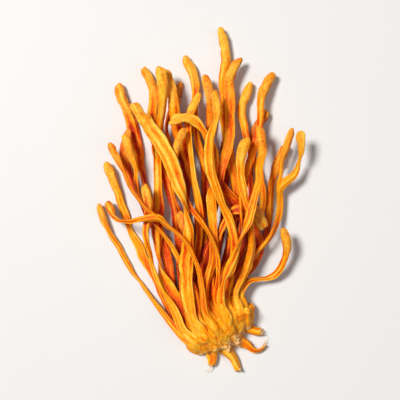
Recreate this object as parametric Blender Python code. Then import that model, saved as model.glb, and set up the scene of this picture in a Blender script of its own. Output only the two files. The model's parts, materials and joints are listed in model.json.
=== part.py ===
"""A tuft of dried cordyceps, lying down as it was picked.

Orange stems with club heads have grown together at one torn base. They have dried flat and twisted,
and each lies over the ones before it. Seen from above, +Y runs from the base to the heads and +X to
the right. The origin is on the flat patch under the base that the tuft rests on.

Lengths in the tables are millimetres and angles are degrees. The meshes are in metres.
"""

import math

import bmesh
import bpy
import numpy as np
from mathutils import Vector

MM = 0.001
COLLECTION = "dried_cordyceps"

# The base: a flattened clump. Its front wall, which the stems leave from, is an arc across BASE_TURN.
BASE_TURN = 32.6
BASE_FRONT = (-3.0, 5.0)
BASE_BULGE_RADIUS = 45.0
BASE_HALF_LENGTH = 14.0
BASE_DEPTH = 11.0
BASE_NARROWING = 0.2
BASE_THINNING = 0.35
BASE_TORN = 0.05
BASE_TORN_TURN = 0.7
BASE_TORN_START = 0.5
BASE_HEIGHT = 14.4
BASE_END_HEIGHT = 0.62
BASE_END = 1.6
BASE_FULLNESS = 6
BASE_RIDGE = 0.5
BASE_RIDGE_AT = -12.0
BASE_RINGS_PER_ROOT = 2
ROOT_PITCH = 3.3

# A section of the base from its front wall over the top to the torn back wall: the share of the depth,
# the share of the height, and the share of the ridge that each root carries on over the clump.
BASE_OVER = (
    (0.0, 0.04, 0.0), (0.0, 0.5, 0.0), (0.0, 0.94, 0.0), (0.12, 1.0, 1.0), (0.4, 0.88, 1.0),
    (0.68, 0.68, 1.2), (0.9, 0.5, 1.0), (1.0, 0.42, 0.4), (1.0, 0.05, 0.0),
)
BASE_UNDER = (0.95, 0.5, 0.05)

# The stems, in the order in which they lie, the lowest first. "at" is the root's place along the front
# wall and "up" the height of its centre. "way" is the rest of the route, in plan. "wide" is the width at
# mid-length and "flat" its ratio to the thickness. "head" is the length and the width of the club.
# "twist" holds the turn of the section at equal steps from root to tip, and "lift" raises the tip.
FIRST, SECOND, THIRD, FOURTH, FIFTH = 1.5, 3.8, 6.1, 8.4, 10.7
STEMS = {
    "stem_01": dict(
        at=-12.0, up=FIRST, wide=3.0, flat=2.1, head=(13, 3.6), twist=(0, 20, -10, 40), lift=1.5,
        way=[(-18, 5), (-21.5, 12), (-24.5, 20), (-28.5, 28), (-32.5, 36), (-35.5, 44), (-38, 52.5),
             (-41, 60)]),
    "stem_02": dict(
        at=-8.7, up=FIRST, wide=4.2, flat=2.8, head=(15, 4.0), twist=(0, -15, 20, 190, 180), lift=1.0,
        way=[(-15.5, 8.5), (-18, 17.5), (-20, 26), (-22.5, 35), (-25.5, 45), (-28.5, 56), (-30.5, 67),
             (-33.5, 78), (-37.5, 87)]),
    "stem_03": dict(
        at=-5.4, up=FIRST, wide=2.9, flat=1.9, head=(14, 3.6), twist=(0, 30, 60, 20), lift=0.0,
        way=[(-12, 12), (-13, 23), (-13.5, 33), (-12.5, 43), (-13, 54), (-15, 65), (-17, 76), (-15, 88)]),
    "stem_04": dict(
        at=-2.1, up=FIRST, wide=3.4, flat=2.5, head=(13, 3.8), twist=(0, 10, -30, -60), lift=0.5,
        way=[(-8.3, 15), (-8.5, 26), (-7.5, 36), (-6.5, 47), (-7, 58), (-9, 68), (-13, 77)]),
    "stem_05": dict(
        at=1.2, up=FIRST, wide=3.8, flat=2.6, head=(12, 3.9), twist=(0, -30, -10, 165, 180), lift=1.0,
        way=[(-4.5, 17), (-2.5, 27.5), (-0.5, 37.5), (1, 48), (0.5, 59), (1.5, 69)]),
    "stem_06": dict(
        at=4.5, up=FIRST, wide=3.5, flat=2.4, head=(16, 3.9), twist=(0, 25, 10, -20, 20), lift=1.5,
        way=[(-0.5, 19), (2, 30), (4, 40), (4, 51), (2, 62), (0, 74), (0, 86), (1, 97), (-1, 107)]),
    "stem_07": dict(
        at=7.8, up=FIRST, wide=3.6, flat=2.6, head=(14, 4.0), twist=(0, 20, 50, 20), lift=1.0,
        way=[(3.6, 20.5), (7, 29), (9.5, 37.5), (9.5, 48), (9.5, 58), (10.5, 69), (15.5, 78)]),
    "stem_08": dict(
        at=11.1, up=FIRST, wide=2.9, flat=1.9, head=(12, 3.7), twist=(0, -20, 20, 50), lift=2.0,
        way=[(8, 19.5), (12.5, 27.5), (15.5, 36.5), (16.5, 47), (17.5, 57), (21.5, 66)]),
    "stem_09": dict(
        at=-10.6, up=SECOND, wide=3.7, flat=2.4, head=(14, 3.8), twist=(0, -10, 20, -160, -175), lift=1.0,
        way=[(-17, 7.5), (-18.5, 16.5), (-19.5, 25), (-21, 32), (-24.5, 38), (-28.5, 44.5), (-32, 52),
             (-34.5, 61), (-32.5, 71)]),
    "stem_10": dict(
        at=-7.1, up=SECOND, wide=3.5, flat=2.6, head=(14, 3.7), twist=(0, 30, 0, 30), lift=0.5,
        way=[(-13.5, 11.5), (-15, 22), (-16, 33), (-17.5, 44), (-20, 54), (-23, 64), (-24.5, 75),
             (-24.5, 85), (-28.5, 93)]),
    "stem_11": dict(
        at=-3.8, up=SECOND, wide=2.4, flat=1.7, head=(11, 3.3), twist=(0, 40, 80, 120), lift=1.0,
        way=[(-10, 14.5), (-11, 22.5), (-12, 30), (-13.5, 38), (-16.5, 45.5), (-18, 54), (-18.5, 64),
             (-19.5, 73), (-15.5, 82)]),
    "stem_12": dict(
        at=-0.5, up=SECOND, wide=4.5, flat=3.0, head=(15, 4.0), twist=(0, 5, 20, 185, 170, 190), lift=0.0,
        way=[(-6, 16.5), (-6.5, 24), (-7, 31), (-8, 39), (-9, 47), (-11, 55), (-13.5, 63), (-16, 71.5),
             (-17.5, 81), (-19.5, 91.5)]),
    "stem_13": dict(
        at=2.8, up=SECOND, wide=3.2, flat=2.1, head=(14, 3.7), twist=(0, 60, 20, -20), lift=0.5,
        way=[(-1.8, 18.5), (1, 26), (2.5, 33), (1.5, 41), (-1.5, 49), (-5.5, 57), (-9, 66.5), (-10, 77),
             (-10, 87), (-13.5, 97)]),
    "stem_14": dict(
        at=6.1, up=SECOND, wide=2.7, flat=1.9, head=(13, 3.5), twist=(0, -40, 20, 0), lift=1.5,
        way=[(2.3, 20), (8, 29), (12.5, 39), (13.5, 49), (11, 58), (8, 68), (6.5, 79), (9.5, 88)]),
    "stem_15": dict(
        at=9.4, up=SECOND, wide=4.2, flat=2.8, head=(14, 4.1), twist=(0, 20, 10, 30, 190, 180), lift=1.0,
        way=[(6.5, 19), (10.5, 24.5), (12, 31), (9.5, 37), (5, 43), (0.5, 50), (-3, 58.5), (-4.5, 68),
             (-4.5, 79), (-7, 90)]),
    "stem_16": dict(
        at=-12.0, up=THIRD, wide=2.3, flat=1.9, head=(10, 3.2), twist=(0, 60, 20, 50), lift=1.0,
        way=[(-18.5, 4), (-23.5, 10), (-28, 16), (-32.5, 22.5), (-36.5, 30), (-41, 37), (-44, 45)]),
    "stem_17": dict(
        at=-8.8, up=THIRD, wide=4.2, flat=2.9, head=(12, 4.2), twist=(0, 10, 170, 190, 150, 180), lift=1.0,
        way=[(-15.5, 8.5), (-19, 15.5), (-21.5, 22), (-22.5, 29), (-23, 37.5), (-23, 47), (-23, 57.5),
             (-23, 66.5), (-21.5, 74), (-20.5, 82.5), (-22, 92)]),
    "stem_18": dict(
        at=-5.5, up=THIRD, wide=2.9, flat=2.0, head=(13, 3.6), twist=(0, 30, 60, 30), lift=1.0,
        way=[(-12, 12.5), (-10, 23), (-8.5, 33), (-8.5, 44), (-10.5, 54), (-11.5, 64), (-12, 74),
             (-8.5, 83.5)]),
    "stem_19": dict(
        at=-2.2, up=THIRD, wide=3.8, flat=2.7, head=(13, 3.8), twist=(0, -20, -190, -170, -200), lift=1.0,
        way=[(-8.2, 15), (-6, 25), (-4, 34.5), (-3, 45), (-1, 56), (1.5, 66), (2, 77), (2, 87), (5.5, 96)]),
    "stem_20": dict(
        at=1.1, up=THIRD, wide=3.3, flat=2.1, head=(14, 4.8), twist=(0, 20, 10, 0), lift=1.0,
        way=[(-4.6, 17), (-4, 27), (-1, 36), (4, 43), (10, 42), (14, 36)]),
    "stem_21": dict(
        at=4.4, up=THIRD, wide=3.0, flat=2.1, head=(13, 3.7), twist=(0, 20, 190, 170, 200), lift=1.5,
        way=[(-0.3, 19), (3.5, 27), (5.5, 36), (6, 45), (7.5, 54.5), (10.5, 63.5), (12.5, 73),
             (13, 83), (17.5, 91)]),
    "stem_22": dict(
        at=7.7, up=THIRD, wide=2.6, flat=1.8, head=(12, 3.5), twist=(0, -40, -20, -50), lift=2.0,
        way=[(4, 20), (10.5, 27), (16.5, 34), (19.5, 42.5), (19.5, 52), (20.5, 62), (24, 71)]),
    "stem_23": dict(
        at=11.0, up=THIRD, wide=2.8, flat=1.9, head=(11, 3.6), twist=(0, 20, 40), lift=2.0,
        way=[(8.5, 18), (15, 19), (20, 23), (22, 29), (20, 37)]),
    "stem_24": dict(
        at=-7.1, up=FOURTH, wide=3.0, flat=1.9, head=(11, 4.4), twist=(0, 20, 40), lift=2.0,
        way=[(-13.5, 11.5), (-14, 23), (-12.5, 34), (-16, 42.5)]),
    "stem_25": dict(
        at=-3.8, up=FOURTH, wide=3.0, flat=2.3, head=(13, 3.6), twist=(0, 30, 70, 20), lift=1.0,
        way=[(-10, 15), (-14.5, 24.5), (-19.5, 33), (-25.5, 40.5), (-29.5, 49.5), (-31, 59.5), (-34, 69)]),
    "stem_26": dict(
        at=-0.5, up=FOURTH, wide=3.5, flat=2.4, head=(12, 3.9), twist=(0, -20, 20, 170, 180), lift=1.5,
        way=[(-6, 16.8), (-3.5, 27), (-4, 38), (-4, 49), (-3.5, 59), (-6, 68.5), (-12, 74), (-19, 73)]),
    "stem_27": dict(
        at=2.8, up=FOURTH, wide=2.7, flat=2.0, head=(12, 3.5), twist=(0, 60, 20, 60), lift=1.0,
        way=[(-2, 19), (-2.5, 28.5), (-6, 36.5), (-11.5, 43.5), (-15, 52.5), (-16.5, 62), (-13.5, 71)]),
    "stem_28": dict(
        at=-10.4, up=FOURTH, wide=3.2, flat=2.2, head=(12, 4.0), twist=(0, 20, 60, 170, 180), lift=1.5,
        way=[(-17, 7.8), (-22, 16.5), (-25, 25), (-26.5, 34), (-25.5, 43), (-27.5, 52)]),
    "stem_29": dict(
        at=9.4, up=FOURTH, wide=3.0, flat=2.0, head=(12, 3.8), twist=(0, -30, 10, 40), lift=1.5,
        way=[(6.5, 19.2), (9, 28), (9, 38), (6.5, 48), (5.5, 58), (8, 68)]),
    "stem_30": dict(
        at=-5.4, up=FIFTH, wide=4.0, flat=2.8, head=(13, 4.0), twist=(0, 10, -10, 165, 180, 170), lift=1.0,
        way=[(-12, 12.5), (-12.5, 23), (-12, 34), (-13.5, 45), (-17, 55.5), (-21.5, 65), (-27, 73),
             (-31, 80)]),
    "stem_31": dict(
        at=6.1, up=FOURTH, wide=2.8, flat=2.0, head=(12, 3.6), twist=(0, 30, 10, 60), lift=1.0,
        way=[(2.4, 20.3), (4, 29), (2.5, 38), (-1.5, 47), (-4.5, 56.5), (-4.5, 66), (-2.5, 75), (-3.5, 84)]),
    "stem_32": dict(
        at=4.4, up=FIFTH, wide=3.3, flat=2.3, head=(12, 3.8), twist=(0, 20, -160, -180, -190), lift=1.5,
        way=[(-0.2, 19), (3.5, 27.5), (6.5, 35.5), (9, 43.5), (11.5, 52), (13, 62), (12, 72)]),
    "stem_33": dict(
        at=-1.6, up=FIFTH, wide=2.6, flat=1.9, head=(12, 3.4), twist=(0, 40, 80, 40), lift=1.0,
        way=[(-7.5, 15.8), (-9, 23), (-12.5, 31), (-18.5, 37.5), (-25.5, 43), (-31.5, 50), (-35.5, 58),
             (-40, 66)]),
}

# Forks: a branch leaves its parent "at" this distance from the parent's root, to its left or right.
LEFT, RIGHT = 1, -1
BRANCHES = {
    "branch_01": dict(
        parent="stem_22", at=50.0, side=RIGHT, wide=2.4, flat=1.8, head=(9, 3.3), twist=(0, 30, 10), lift=1.0,
        way=[(25.8, 58.5), (26.8, 64), (26, 70)]),
    "branch_02": dict(
        parent="stem_33", at=44.0, side=LEFT, wide=2.2, flat=1.7, head=(8, 3.1), twist=(0, 20, 50), lift=1.0,
        way=[(-33, 39), (-37.5, 40.5), (-41, 46)]),
}

# Short torn growths on the back wall of the base. "at" is the root's place along that wall, and "root" the
# width there.
STUBS = {
    "stub_01": dict(
        at=4.6, up=2.6, root=3.0, wide=2.8, flat=1.8, head=(4, 2.4), twist=(0, 20, 0), lift=0.6,
        way=[(10.4, -5.4), (13, -5.6), (15.2, -4)]),
    "stub_02": dict(
        at=-5.6, up=2.3, root=3.6, wide=4.4, flat=2.2, head=(3, 4.0), twist=(0, -15, 10), lift=0.4,
        way=[(4.6, -11.5), (6, -14)]),
    "stub_03": dict(
        at=-11.0, up=2.2, root=3.4, wide=3.8, flat=1.9, head=(2.5, 3.4), twist=(0, 10), lift=0.5,
        way=[(-4.6, -12.6)]),
    "stub_04": dict(
        at=12.2, up=2.4, root=3.0, wide=3.2, flat=1.8, head=(2.5, 2.9), twist=(0, 20), lift=0.8,
        way=[(14.2, 0.4)]),
}

# How the growths lie: the gaps between them, how sharply they bend over each other, and their roots.
ROOT_GAP = 0.35
TORN_GAP = 0.7
ROOT_LEVEL = 3.0
FORK_RUN = 7.0
FORK_GAP = 1.15
FORK_LEAN = 0.9
ROOT_WIDTH = 2.2
ROOT_FLAT = 1.3
ROOT_RUN = 14.0
OVER_GAP = 0.42
SIDE_GAP = 0.35
ARCH = 0.022
ROOT_ARCH = 0.06
ROOT_ARCH_RUN = 10.0
EASE = 3.0
HEAD_FLAT = 1.2
HEAD_SWELL = (-0.2, 0.5)
HEAD_CLOSING = 0.28
LIFT_FROM = 0.6

# The steps along a route, and how far apart its rings may be before the facets leave the curve.
WALK = 0.5
CURVE_SAMPLES = 24
SIDES = 8
SHARP_ANGLE = 50.0
RING_SAG = 0.15
RING_TWIST = 50.0
RING_RUN = 12.0
TIP_SHARE = 0.6
TIP_RINGS = (0.48, 0.22, 0.08, 0.015)


def ramp(value, start, end):
    """0 before start, 1 after end, and a smooth rise between them."""
    share = np.clip((value - start) / (end - start), 0.0, 1.0)
    return share * share * (3.0 - 2.0 * share)


def front_wall(along):
    """The point of the front wall this far along it, and the direction that it faces."""
    turn = math.radians(BASE_TURN)
    across = np.array([math.cos(turn), math.sin(turn)])
    outward = np.array([-math.sin(turn), math.cos(turn)])
    lean = along / BASE_BULGE_RADIUS
    place = np.array(BASE_FRONT) + along * across - 0.5 * along * lean * outward
    facing = outward * math.cos(lean) + across * math.sin(lean)
    return place, facing


def back_edge(along):
    """The point of the torn back wall opposite this point of the front wall."""
    place, facing = front_wall(along)
    across = np.array([facing[1], -facing[0]])
    torn = BASE_TORN * math.sin(BASE_TORN_TURN * along + BASE_TORN_START)
    depth = BASE_DEPTH * (1.0 - BASE_THINNING * (along / BASE_HALF_LENGTH) ** 2 + torn)
    return place - depth * facing - BASE_NARROWING * along * across


def back_wall(along):
    """The point of the torn back wall this far along it, and the direction that it faces."""
    along_wall = back_edge(along + ROOT_PITCH / 2) - back_edge(along - ROOT_PITCH / 2)
    facing = np.array([along_wall[1], -along_wall[0]]) / np.linalg.norm(along_wall)
    return back_edge(along), facing


def smooth_route(points, step):
    """Equal steps along a smooth curve through the points."""
    points = np.array(points, float)
    legs = np.diff(points, axis=0)
    lengths = np.linalg.norm(legs, axis=1)[:, None]
    headings = legs / lengths
    through = headings[:-1] * lengths[1:] + headings[1:] * lengths[:-1]
    through /= np.linalg.norm(through, axis=1)[:, None]
    tangents = np.vstack([headings[:1], through, headings[-1:]])
    t = np.linspace(0.0, 1.0, CURVE_SAMPLES, endpoint=False)[:, None]
    runs = [
        (1 + 2 * t) * (1 - t) ** 2 * points[leg] + t * (1 - t) ** 2 * lengths[leg] * tangents[leg]
        + t * t * (3 - 2 * t) * points[leg + 1] - t * t * (1 - t) * lengths[leg] * tangents[leg + 1]
        for leg in range(len(legs))
    ]
    dense = np.vstack(runs + [points[-1:]])
    run = run_along(dense)
    even = np.linspace(0.0, run[-1], max(4, round(run[-1] / step)))
    return np.column_stack([np.interp(even, run, dense[:, axis]) for axis in range(points.shape[1])])


def run_along(line):
    """The distance from the start of the line to each of its points."""
    return np.concatenate([[0.0], np.cumsum(np.linalg.norm(np.diff(line, axis=0), axis=1))])


def section_sizes(growth, run):
    """Half the width, half the thickness and the twist in radians at each distance from the root."""
    length = run[-1]
    head_length, head_width = growth["head"]
    root = growth.get("root", min(ROOT_WIDTH, growth["wide"])) / 2
    half = root + (growth["wide"] / 2 - root) * ramp(run, 0.0, ROOT_RUN)
    flat = ROOT_FLAT + (growth["flat"] - ROOT_FLAT) * ramp(run, 0.0, ROOT_RUN)
    into_head = (run - (length - head_length)) / head_length
    swell = ramp(into_head, *HEAD_SWELL)
    half = half + (head_width / 2 - half) * swell
    flat = flat + (HEAD_FLAT - flat) * swell
    closing = np.clip((into_head - 1.0) / HEAD_CLOSING + 1.0, 0.0, 1.0)
    half = half * np.sqrt(np.maximum(1.0 - closing ** 2, 0.0))
    turns = np.radians(growth["twist"])
    twist = np.interp(run / length, np.linspace(0.0, 1.0, len(turns)), turns)
    return half, half / flat, twist


def lay(name, growth, start, facing, up, laid):
    """The route in space of a growth from its root, over the floor and over what is laid already."""
    first = [start, start + ROOT_LEVEL * facing]
    plan = smooth_route(first + [np.array(point, float) for point in growth["way"]], WALK)
    run = run_along(plan)
    half, thin, twist = section_sizes(growth, run)
    high = np.hypot(half * np.sin(twist), thin * np.cos(twist))
    wide = np.hypot(half * np.cos(twist), thin * np.sin(twist))
    arch = ARCH + ROOT_ARCH * np.exp(-run / ROOT_ARCH_RUN)
    clear = high + OVER_GAP + arch * EASE ** 2
    need = high.copy()
    for other, (other_plan, other_height, other_high, other_wide) in laid.items():
        apart = np.linalg.norm(plan[:, None] - other_plan[None], axis=2)
        share = apart / (wide[:, None] + other_wide[None] + SIDE_GAP)
        rise = (clear[:, None] + other_high[None]) * np.cbrt(np.maximum(1.0 - share ** 3, 0.0))
        over = np.where(share < 1.0, other_height[None] + rise, 0.0).max(axis=1)
        if other == growth.get("parent"):
            over[run < FORK_RUN] = 0.0
        need = np.maximum(need, over)
    level = run < ROOT_LEVEL
    need[level] = max(up, need[level].max())
    need = need + growth["lift"] * ramp(run / run[-1], LIFT_FROM, 1.0)
    # The route is mirrored about the root, so that it leaves the wall level.
    both_ways = np.concatenate([-run[:0:-1], run])
    between = both_ways[:, None] - both_ways[None]
    bend = np.concatenate([arch[:0:-1], arch])
    arched = (np.concatenate([need[:0:-1], need])[None] - bend[None] * between ** 2).max(axis=1)
    weight = np.exp(-0.5 * (between / EASE) ** 2)
    height = ((weight * arched[None]).sum(axis=1) / weight.sum(axis=1))[len(run) - 1:]
    laid[name] = (plan, height, high, wide)
    return np.column_stack([plan, height])


def ring_steps(route, twist):
    """The points of the route that carry a ring: as far apart as the bends and the twist allow."""
    run = run_along(route)
    steps = [0]
    for step in range(2, len(route)):
        last = steps[-1]
        share = (run[last + 1:step] - run[last])[:, None] / (run[step] - run[last])
        chord = route[last] + share * (route[step] - route[last])
        sag = np.linalg.norm(route[last + 1:step] - chord, axis=1).max(initial=0.0)
        turned = math.degrees(abs(twist[step] - twist[last]))
        if sag > RING_SAG or turned > RING_TWIST or run[step] - run[last] > RING_RUN:
            steps.append(step - 1)
    return steps


def growth_rings(growth, route):
    """The rings of a stem or stub from root to tip, and the tip itself, in millimetres."""
    run = run_along(route)
    half, thin, twist = section_sizes(growth, run)
    body = run <= run[-1] - TIP_SHARE * growth["head"][0]
    places = [run[step] for step in ring_steps(route[body], twist[body])]
    places += [run[-1] - growth["head"][0] * share for share in TIP_RINGS]
    around = np.linspace(0.0, 2 * math.pi, SIDES, endpoint=False)
    rings = []
    for place in places:
        centre = np.array([np.interp(place, run, route[:, axis]) for axis in range(3)])
        ahead = np.array([np.interp(place + WALK, run, route[:, axis]) for axis in range(3)])
        behind = np.array([np.interp(place - WALK, run, route[:, axis]) for axis in range(3)])
        forward = (ahead - behind) / np.linalg.norm(ahead - behind)
        side = np.cross(forward, (0.0, 0.0, 1.0))
        side /= np.linalg.norm(side)
        upward = np.cross(side, forward)
        turn = np.interp(place, run, twist)
        broad = np.interp(place, run, half) * (math.cos(turn) * side + math.sin(turn) * upward)
        narrow = np.interp(place, run, thin) * (math.cos(turn) * upward - math.sin(turn) * side)
        rings.append(centre + np.cos(around)[:, None] * broad + np.sin(around)[:, None] * narrow)
    return rings, route[-1]


def loft_object(name, rings, start, tip, material, collection):
    """A closed mesh through the rings, from the point start to the point tip."""
    mesh = bpy.data.meshes.new(name)
    shape = bmesh.new()
    rows = [[shape.verts.new(Vector((x, y, max(z, 0.0))) * MM) for x, y, z in ring] for ring in rings]
    ends = [shape.verts.new(Vector((x, y, max(z, 0.0))) * MM) for x, y, z in (start, tip)]
    for row, following in zip(rows, rows[1:]):
        for side in range(len(row)):
            after = (side + 1) % len(row)
            shape.faces.new((row[side], row[after], following[after], following[side]))
    for end, row in zip(ends, (rows[0], rows[-1])):
        for side in range(len(row)):
            shape.faces.new((end, row[side], row[(side + 1) % len(row)]))
    bmesh.ops.recalc_face_normals(shape, faces=shape.faces)
    bmesh.ops.triangulate(shape, faces=shape.faces)
    shape.to_mesh(mesh)
    shape.free()
    mesh.shade_smooth()
    mesh.set_sharp_from_angle(angle=math.radians(SHARP_ANGLE))
    mesh.materials.append(material)
    piece = bpy.data.objects.new(name, mesh)
    collection.objects.link(piece)
    return piece


def make_growth(name, growth, start, facing, up, laid, material, collection):
    """A stem, branch or stub from its root at the start, leaving a surface that faces this way."""
    route = lay(name, growth, start, facing, up, laid)
    rings, tip = growth_rings(growth, route)
    loft_object(name, rings, rings[0].mean(axis=0), tip, material, collection)


def make_branch(name, growth, laid, material, collection):
    """A branch that leaves the side of its parent."""
    plan, height, _, wide = laid[growth["parent"]]
    step = int(np.searchsorted(run_along(plan), growth["at"]))
    heading = (plan[step + 1] - plan[step - 1]) / np.linalg.norm(plan[step + 1] - plan[step - 1])
    sideways = growth["side"] * np.array([-heading[1], heading[0]])
    start = plan[step] + (wide[step] + FORK_GAP) * sideways
    facing = (sideways + FORK_LEAN * heading) / math.hypot(1.0, FORK_LEAN)
    make_growth(name, growth, start, facing, height[step], laid, material, collection)


def make_base(material, collection):
    """The clump, as sections across it from end to end, with a flat underside and a ridge for each root."""
    stations = round(2 * BASE_HALF_LENGTH * BASE_RINGS_PER_ROOT / ROOT_PITCH) + 1
    rings = []
    for along in np.linspace(-BASE_HALF_LENGTH, BASE_HALF_LENGTH, stations):
        front, _ = front_wall(along)
        depth = back_edge(along) - front
        fullness = 1.0 - (abs(along) / BASE_HALF_LENGTH) ** BASE_FULLNESS
        ridge = BASE_RIDGE * math.cos(2 * math.pi * (along - BASE_RIDGE_AT) / ROOT_PITCH)
        height = BASE_HEIGHT * (BASE_END_HEIGHT + (1.0 - BASE_END_HEIGHT) * fullness)
        over = [(*(front + share * depth), level * height + raised * ridge)
                for share, level, raised in BASE_OVER]
        under = [(*(front + share * depth), 0.0) for share in BASE_UNDER]
        rings.append(np.array(over + under))
    middles = [ring.mean(axis=0) for ring in rings]
    lengthways = (middles[-1] - middles[0]) / np.linalg.norm(middles[-1] - middles[0])
    ends = middles[0] - BASE_END * lengthways, middles[-1] + BASE_END * lengthways
    loft_object("base", rings, *ends, material, collection)


def make_material(name, colour, roughness):
    material = bpy.data.materials.new(name)
    material.use_nodes = True
    shader = material.node_tree.nodes["Principled BSDF"]
    shader.inputs["Base Color"].default_value = (*colour, 1.0)
    shader.inputs["Roughness"].default_value = roughness
    shader.inputs["Metallic"].default_value = 0.0
    return material


def main():
    for leftover in list(bpy.data.objects):
        bpy.data.objects.remove(leftover)
    collection = bpy.data.collections.new(COLLECTION)
    bpy.context.scene.collection.children.link(collection)
    stem_flesh = make_material("stem_flesh", (0.80, 0.27, 0.015), 0.5)
    base_flesh = make_material("base_flesh", (0.72, 0.30, 0.05), 0.7)
    make_base(base_flesh, collection)
    laid = {}
    for name, growth in STEMS.items():
        place, facing = front_wall(growth["at"])
        start = place + ROOT_GAP * facing
        make_growth(name, growth, start, facing, growth["up"], laid, stem_flesh, collection)
    for name, growth in BRANCHES.items():
        make_branch(name, growth, laid, stem_flesh, collection)
    for name, growth in STUBS.items():
        place, facing = back_wall(growth["at"])
        start = place + TORN_GAP * facing
        make_growth(name, growth, start, facing, growth["up"], laid, stem_flesh, collection)


main()
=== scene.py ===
"""The looks of a tuft of dried cordyceps, lying down as it was picked.

The stems follow the same routes as the part's solids and are folded, wrinkled and twisted here as
the flesh dries. Lengths in the tables are millimetres and angles are degrees.
"""

import json
import math

import bmesh
import bpy
import numpy as np
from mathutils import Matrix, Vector

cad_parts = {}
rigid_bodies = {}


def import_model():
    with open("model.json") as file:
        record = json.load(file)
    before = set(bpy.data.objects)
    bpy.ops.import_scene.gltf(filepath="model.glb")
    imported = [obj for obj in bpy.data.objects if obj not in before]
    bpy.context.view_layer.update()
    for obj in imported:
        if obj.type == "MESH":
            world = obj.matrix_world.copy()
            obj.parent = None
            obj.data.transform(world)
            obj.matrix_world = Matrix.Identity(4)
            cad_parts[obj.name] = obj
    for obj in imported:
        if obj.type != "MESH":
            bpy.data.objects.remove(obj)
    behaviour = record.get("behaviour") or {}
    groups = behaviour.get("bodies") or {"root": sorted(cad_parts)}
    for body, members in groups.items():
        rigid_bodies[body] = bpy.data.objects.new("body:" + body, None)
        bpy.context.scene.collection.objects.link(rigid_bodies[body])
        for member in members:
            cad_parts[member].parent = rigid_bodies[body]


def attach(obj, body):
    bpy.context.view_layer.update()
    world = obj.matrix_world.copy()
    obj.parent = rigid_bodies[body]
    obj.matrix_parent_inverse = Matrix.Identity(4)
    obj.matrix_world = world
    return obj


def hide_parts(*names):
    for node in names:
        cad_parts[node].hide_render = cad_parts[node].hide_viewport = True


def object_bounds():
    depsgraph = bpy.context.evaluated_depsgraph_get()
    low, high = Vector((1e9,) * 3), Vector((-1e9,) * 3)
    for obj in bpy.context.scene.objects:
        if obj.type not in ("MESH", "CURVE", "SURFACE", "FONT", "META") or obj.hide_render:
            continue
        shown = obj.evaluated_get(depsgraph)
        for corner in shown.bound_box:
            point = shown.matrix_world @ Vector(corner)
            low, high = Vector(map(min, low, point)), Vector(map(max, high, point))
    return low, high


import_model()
CAD_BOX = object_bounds()

MM = 0.001

# The base: a flattened clump. Its front wall, which the stems leave from, is an arc across BASE_TURN.
BASE_TURN = 32.6
BASE_FRONT = (-3.0, 5.0)
BASE_BULGE_RADIUS = 45.0
BASE_HALF_LENGTH = 14.0
BASE_DEPTH = 11.0
BASE_NARROWING = 0.2
BASE_THINNING = 0.35
BASE_TORN = 0.05
BASE_TORN_TURN = 0.7
BASE_TORN_START = 0.5
BASE_HEIGHT = 14.4
BASE_END_HEIGHT = 0.62
BASE_FULLNESS = 6
ROOT_PITCH = 3.3

# The top of the base from its front wall to its torn back wall: shares of the depth and of the height. Its
# crest is CREST of the way back.
BASE_TOP = ((0.0, 0.94), (0.12, 1.0), (0.4, 0.88), (0.68, 0.68), (0.9, 0.5), (1.0, 0.42))
CREST = 0.12

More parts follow.
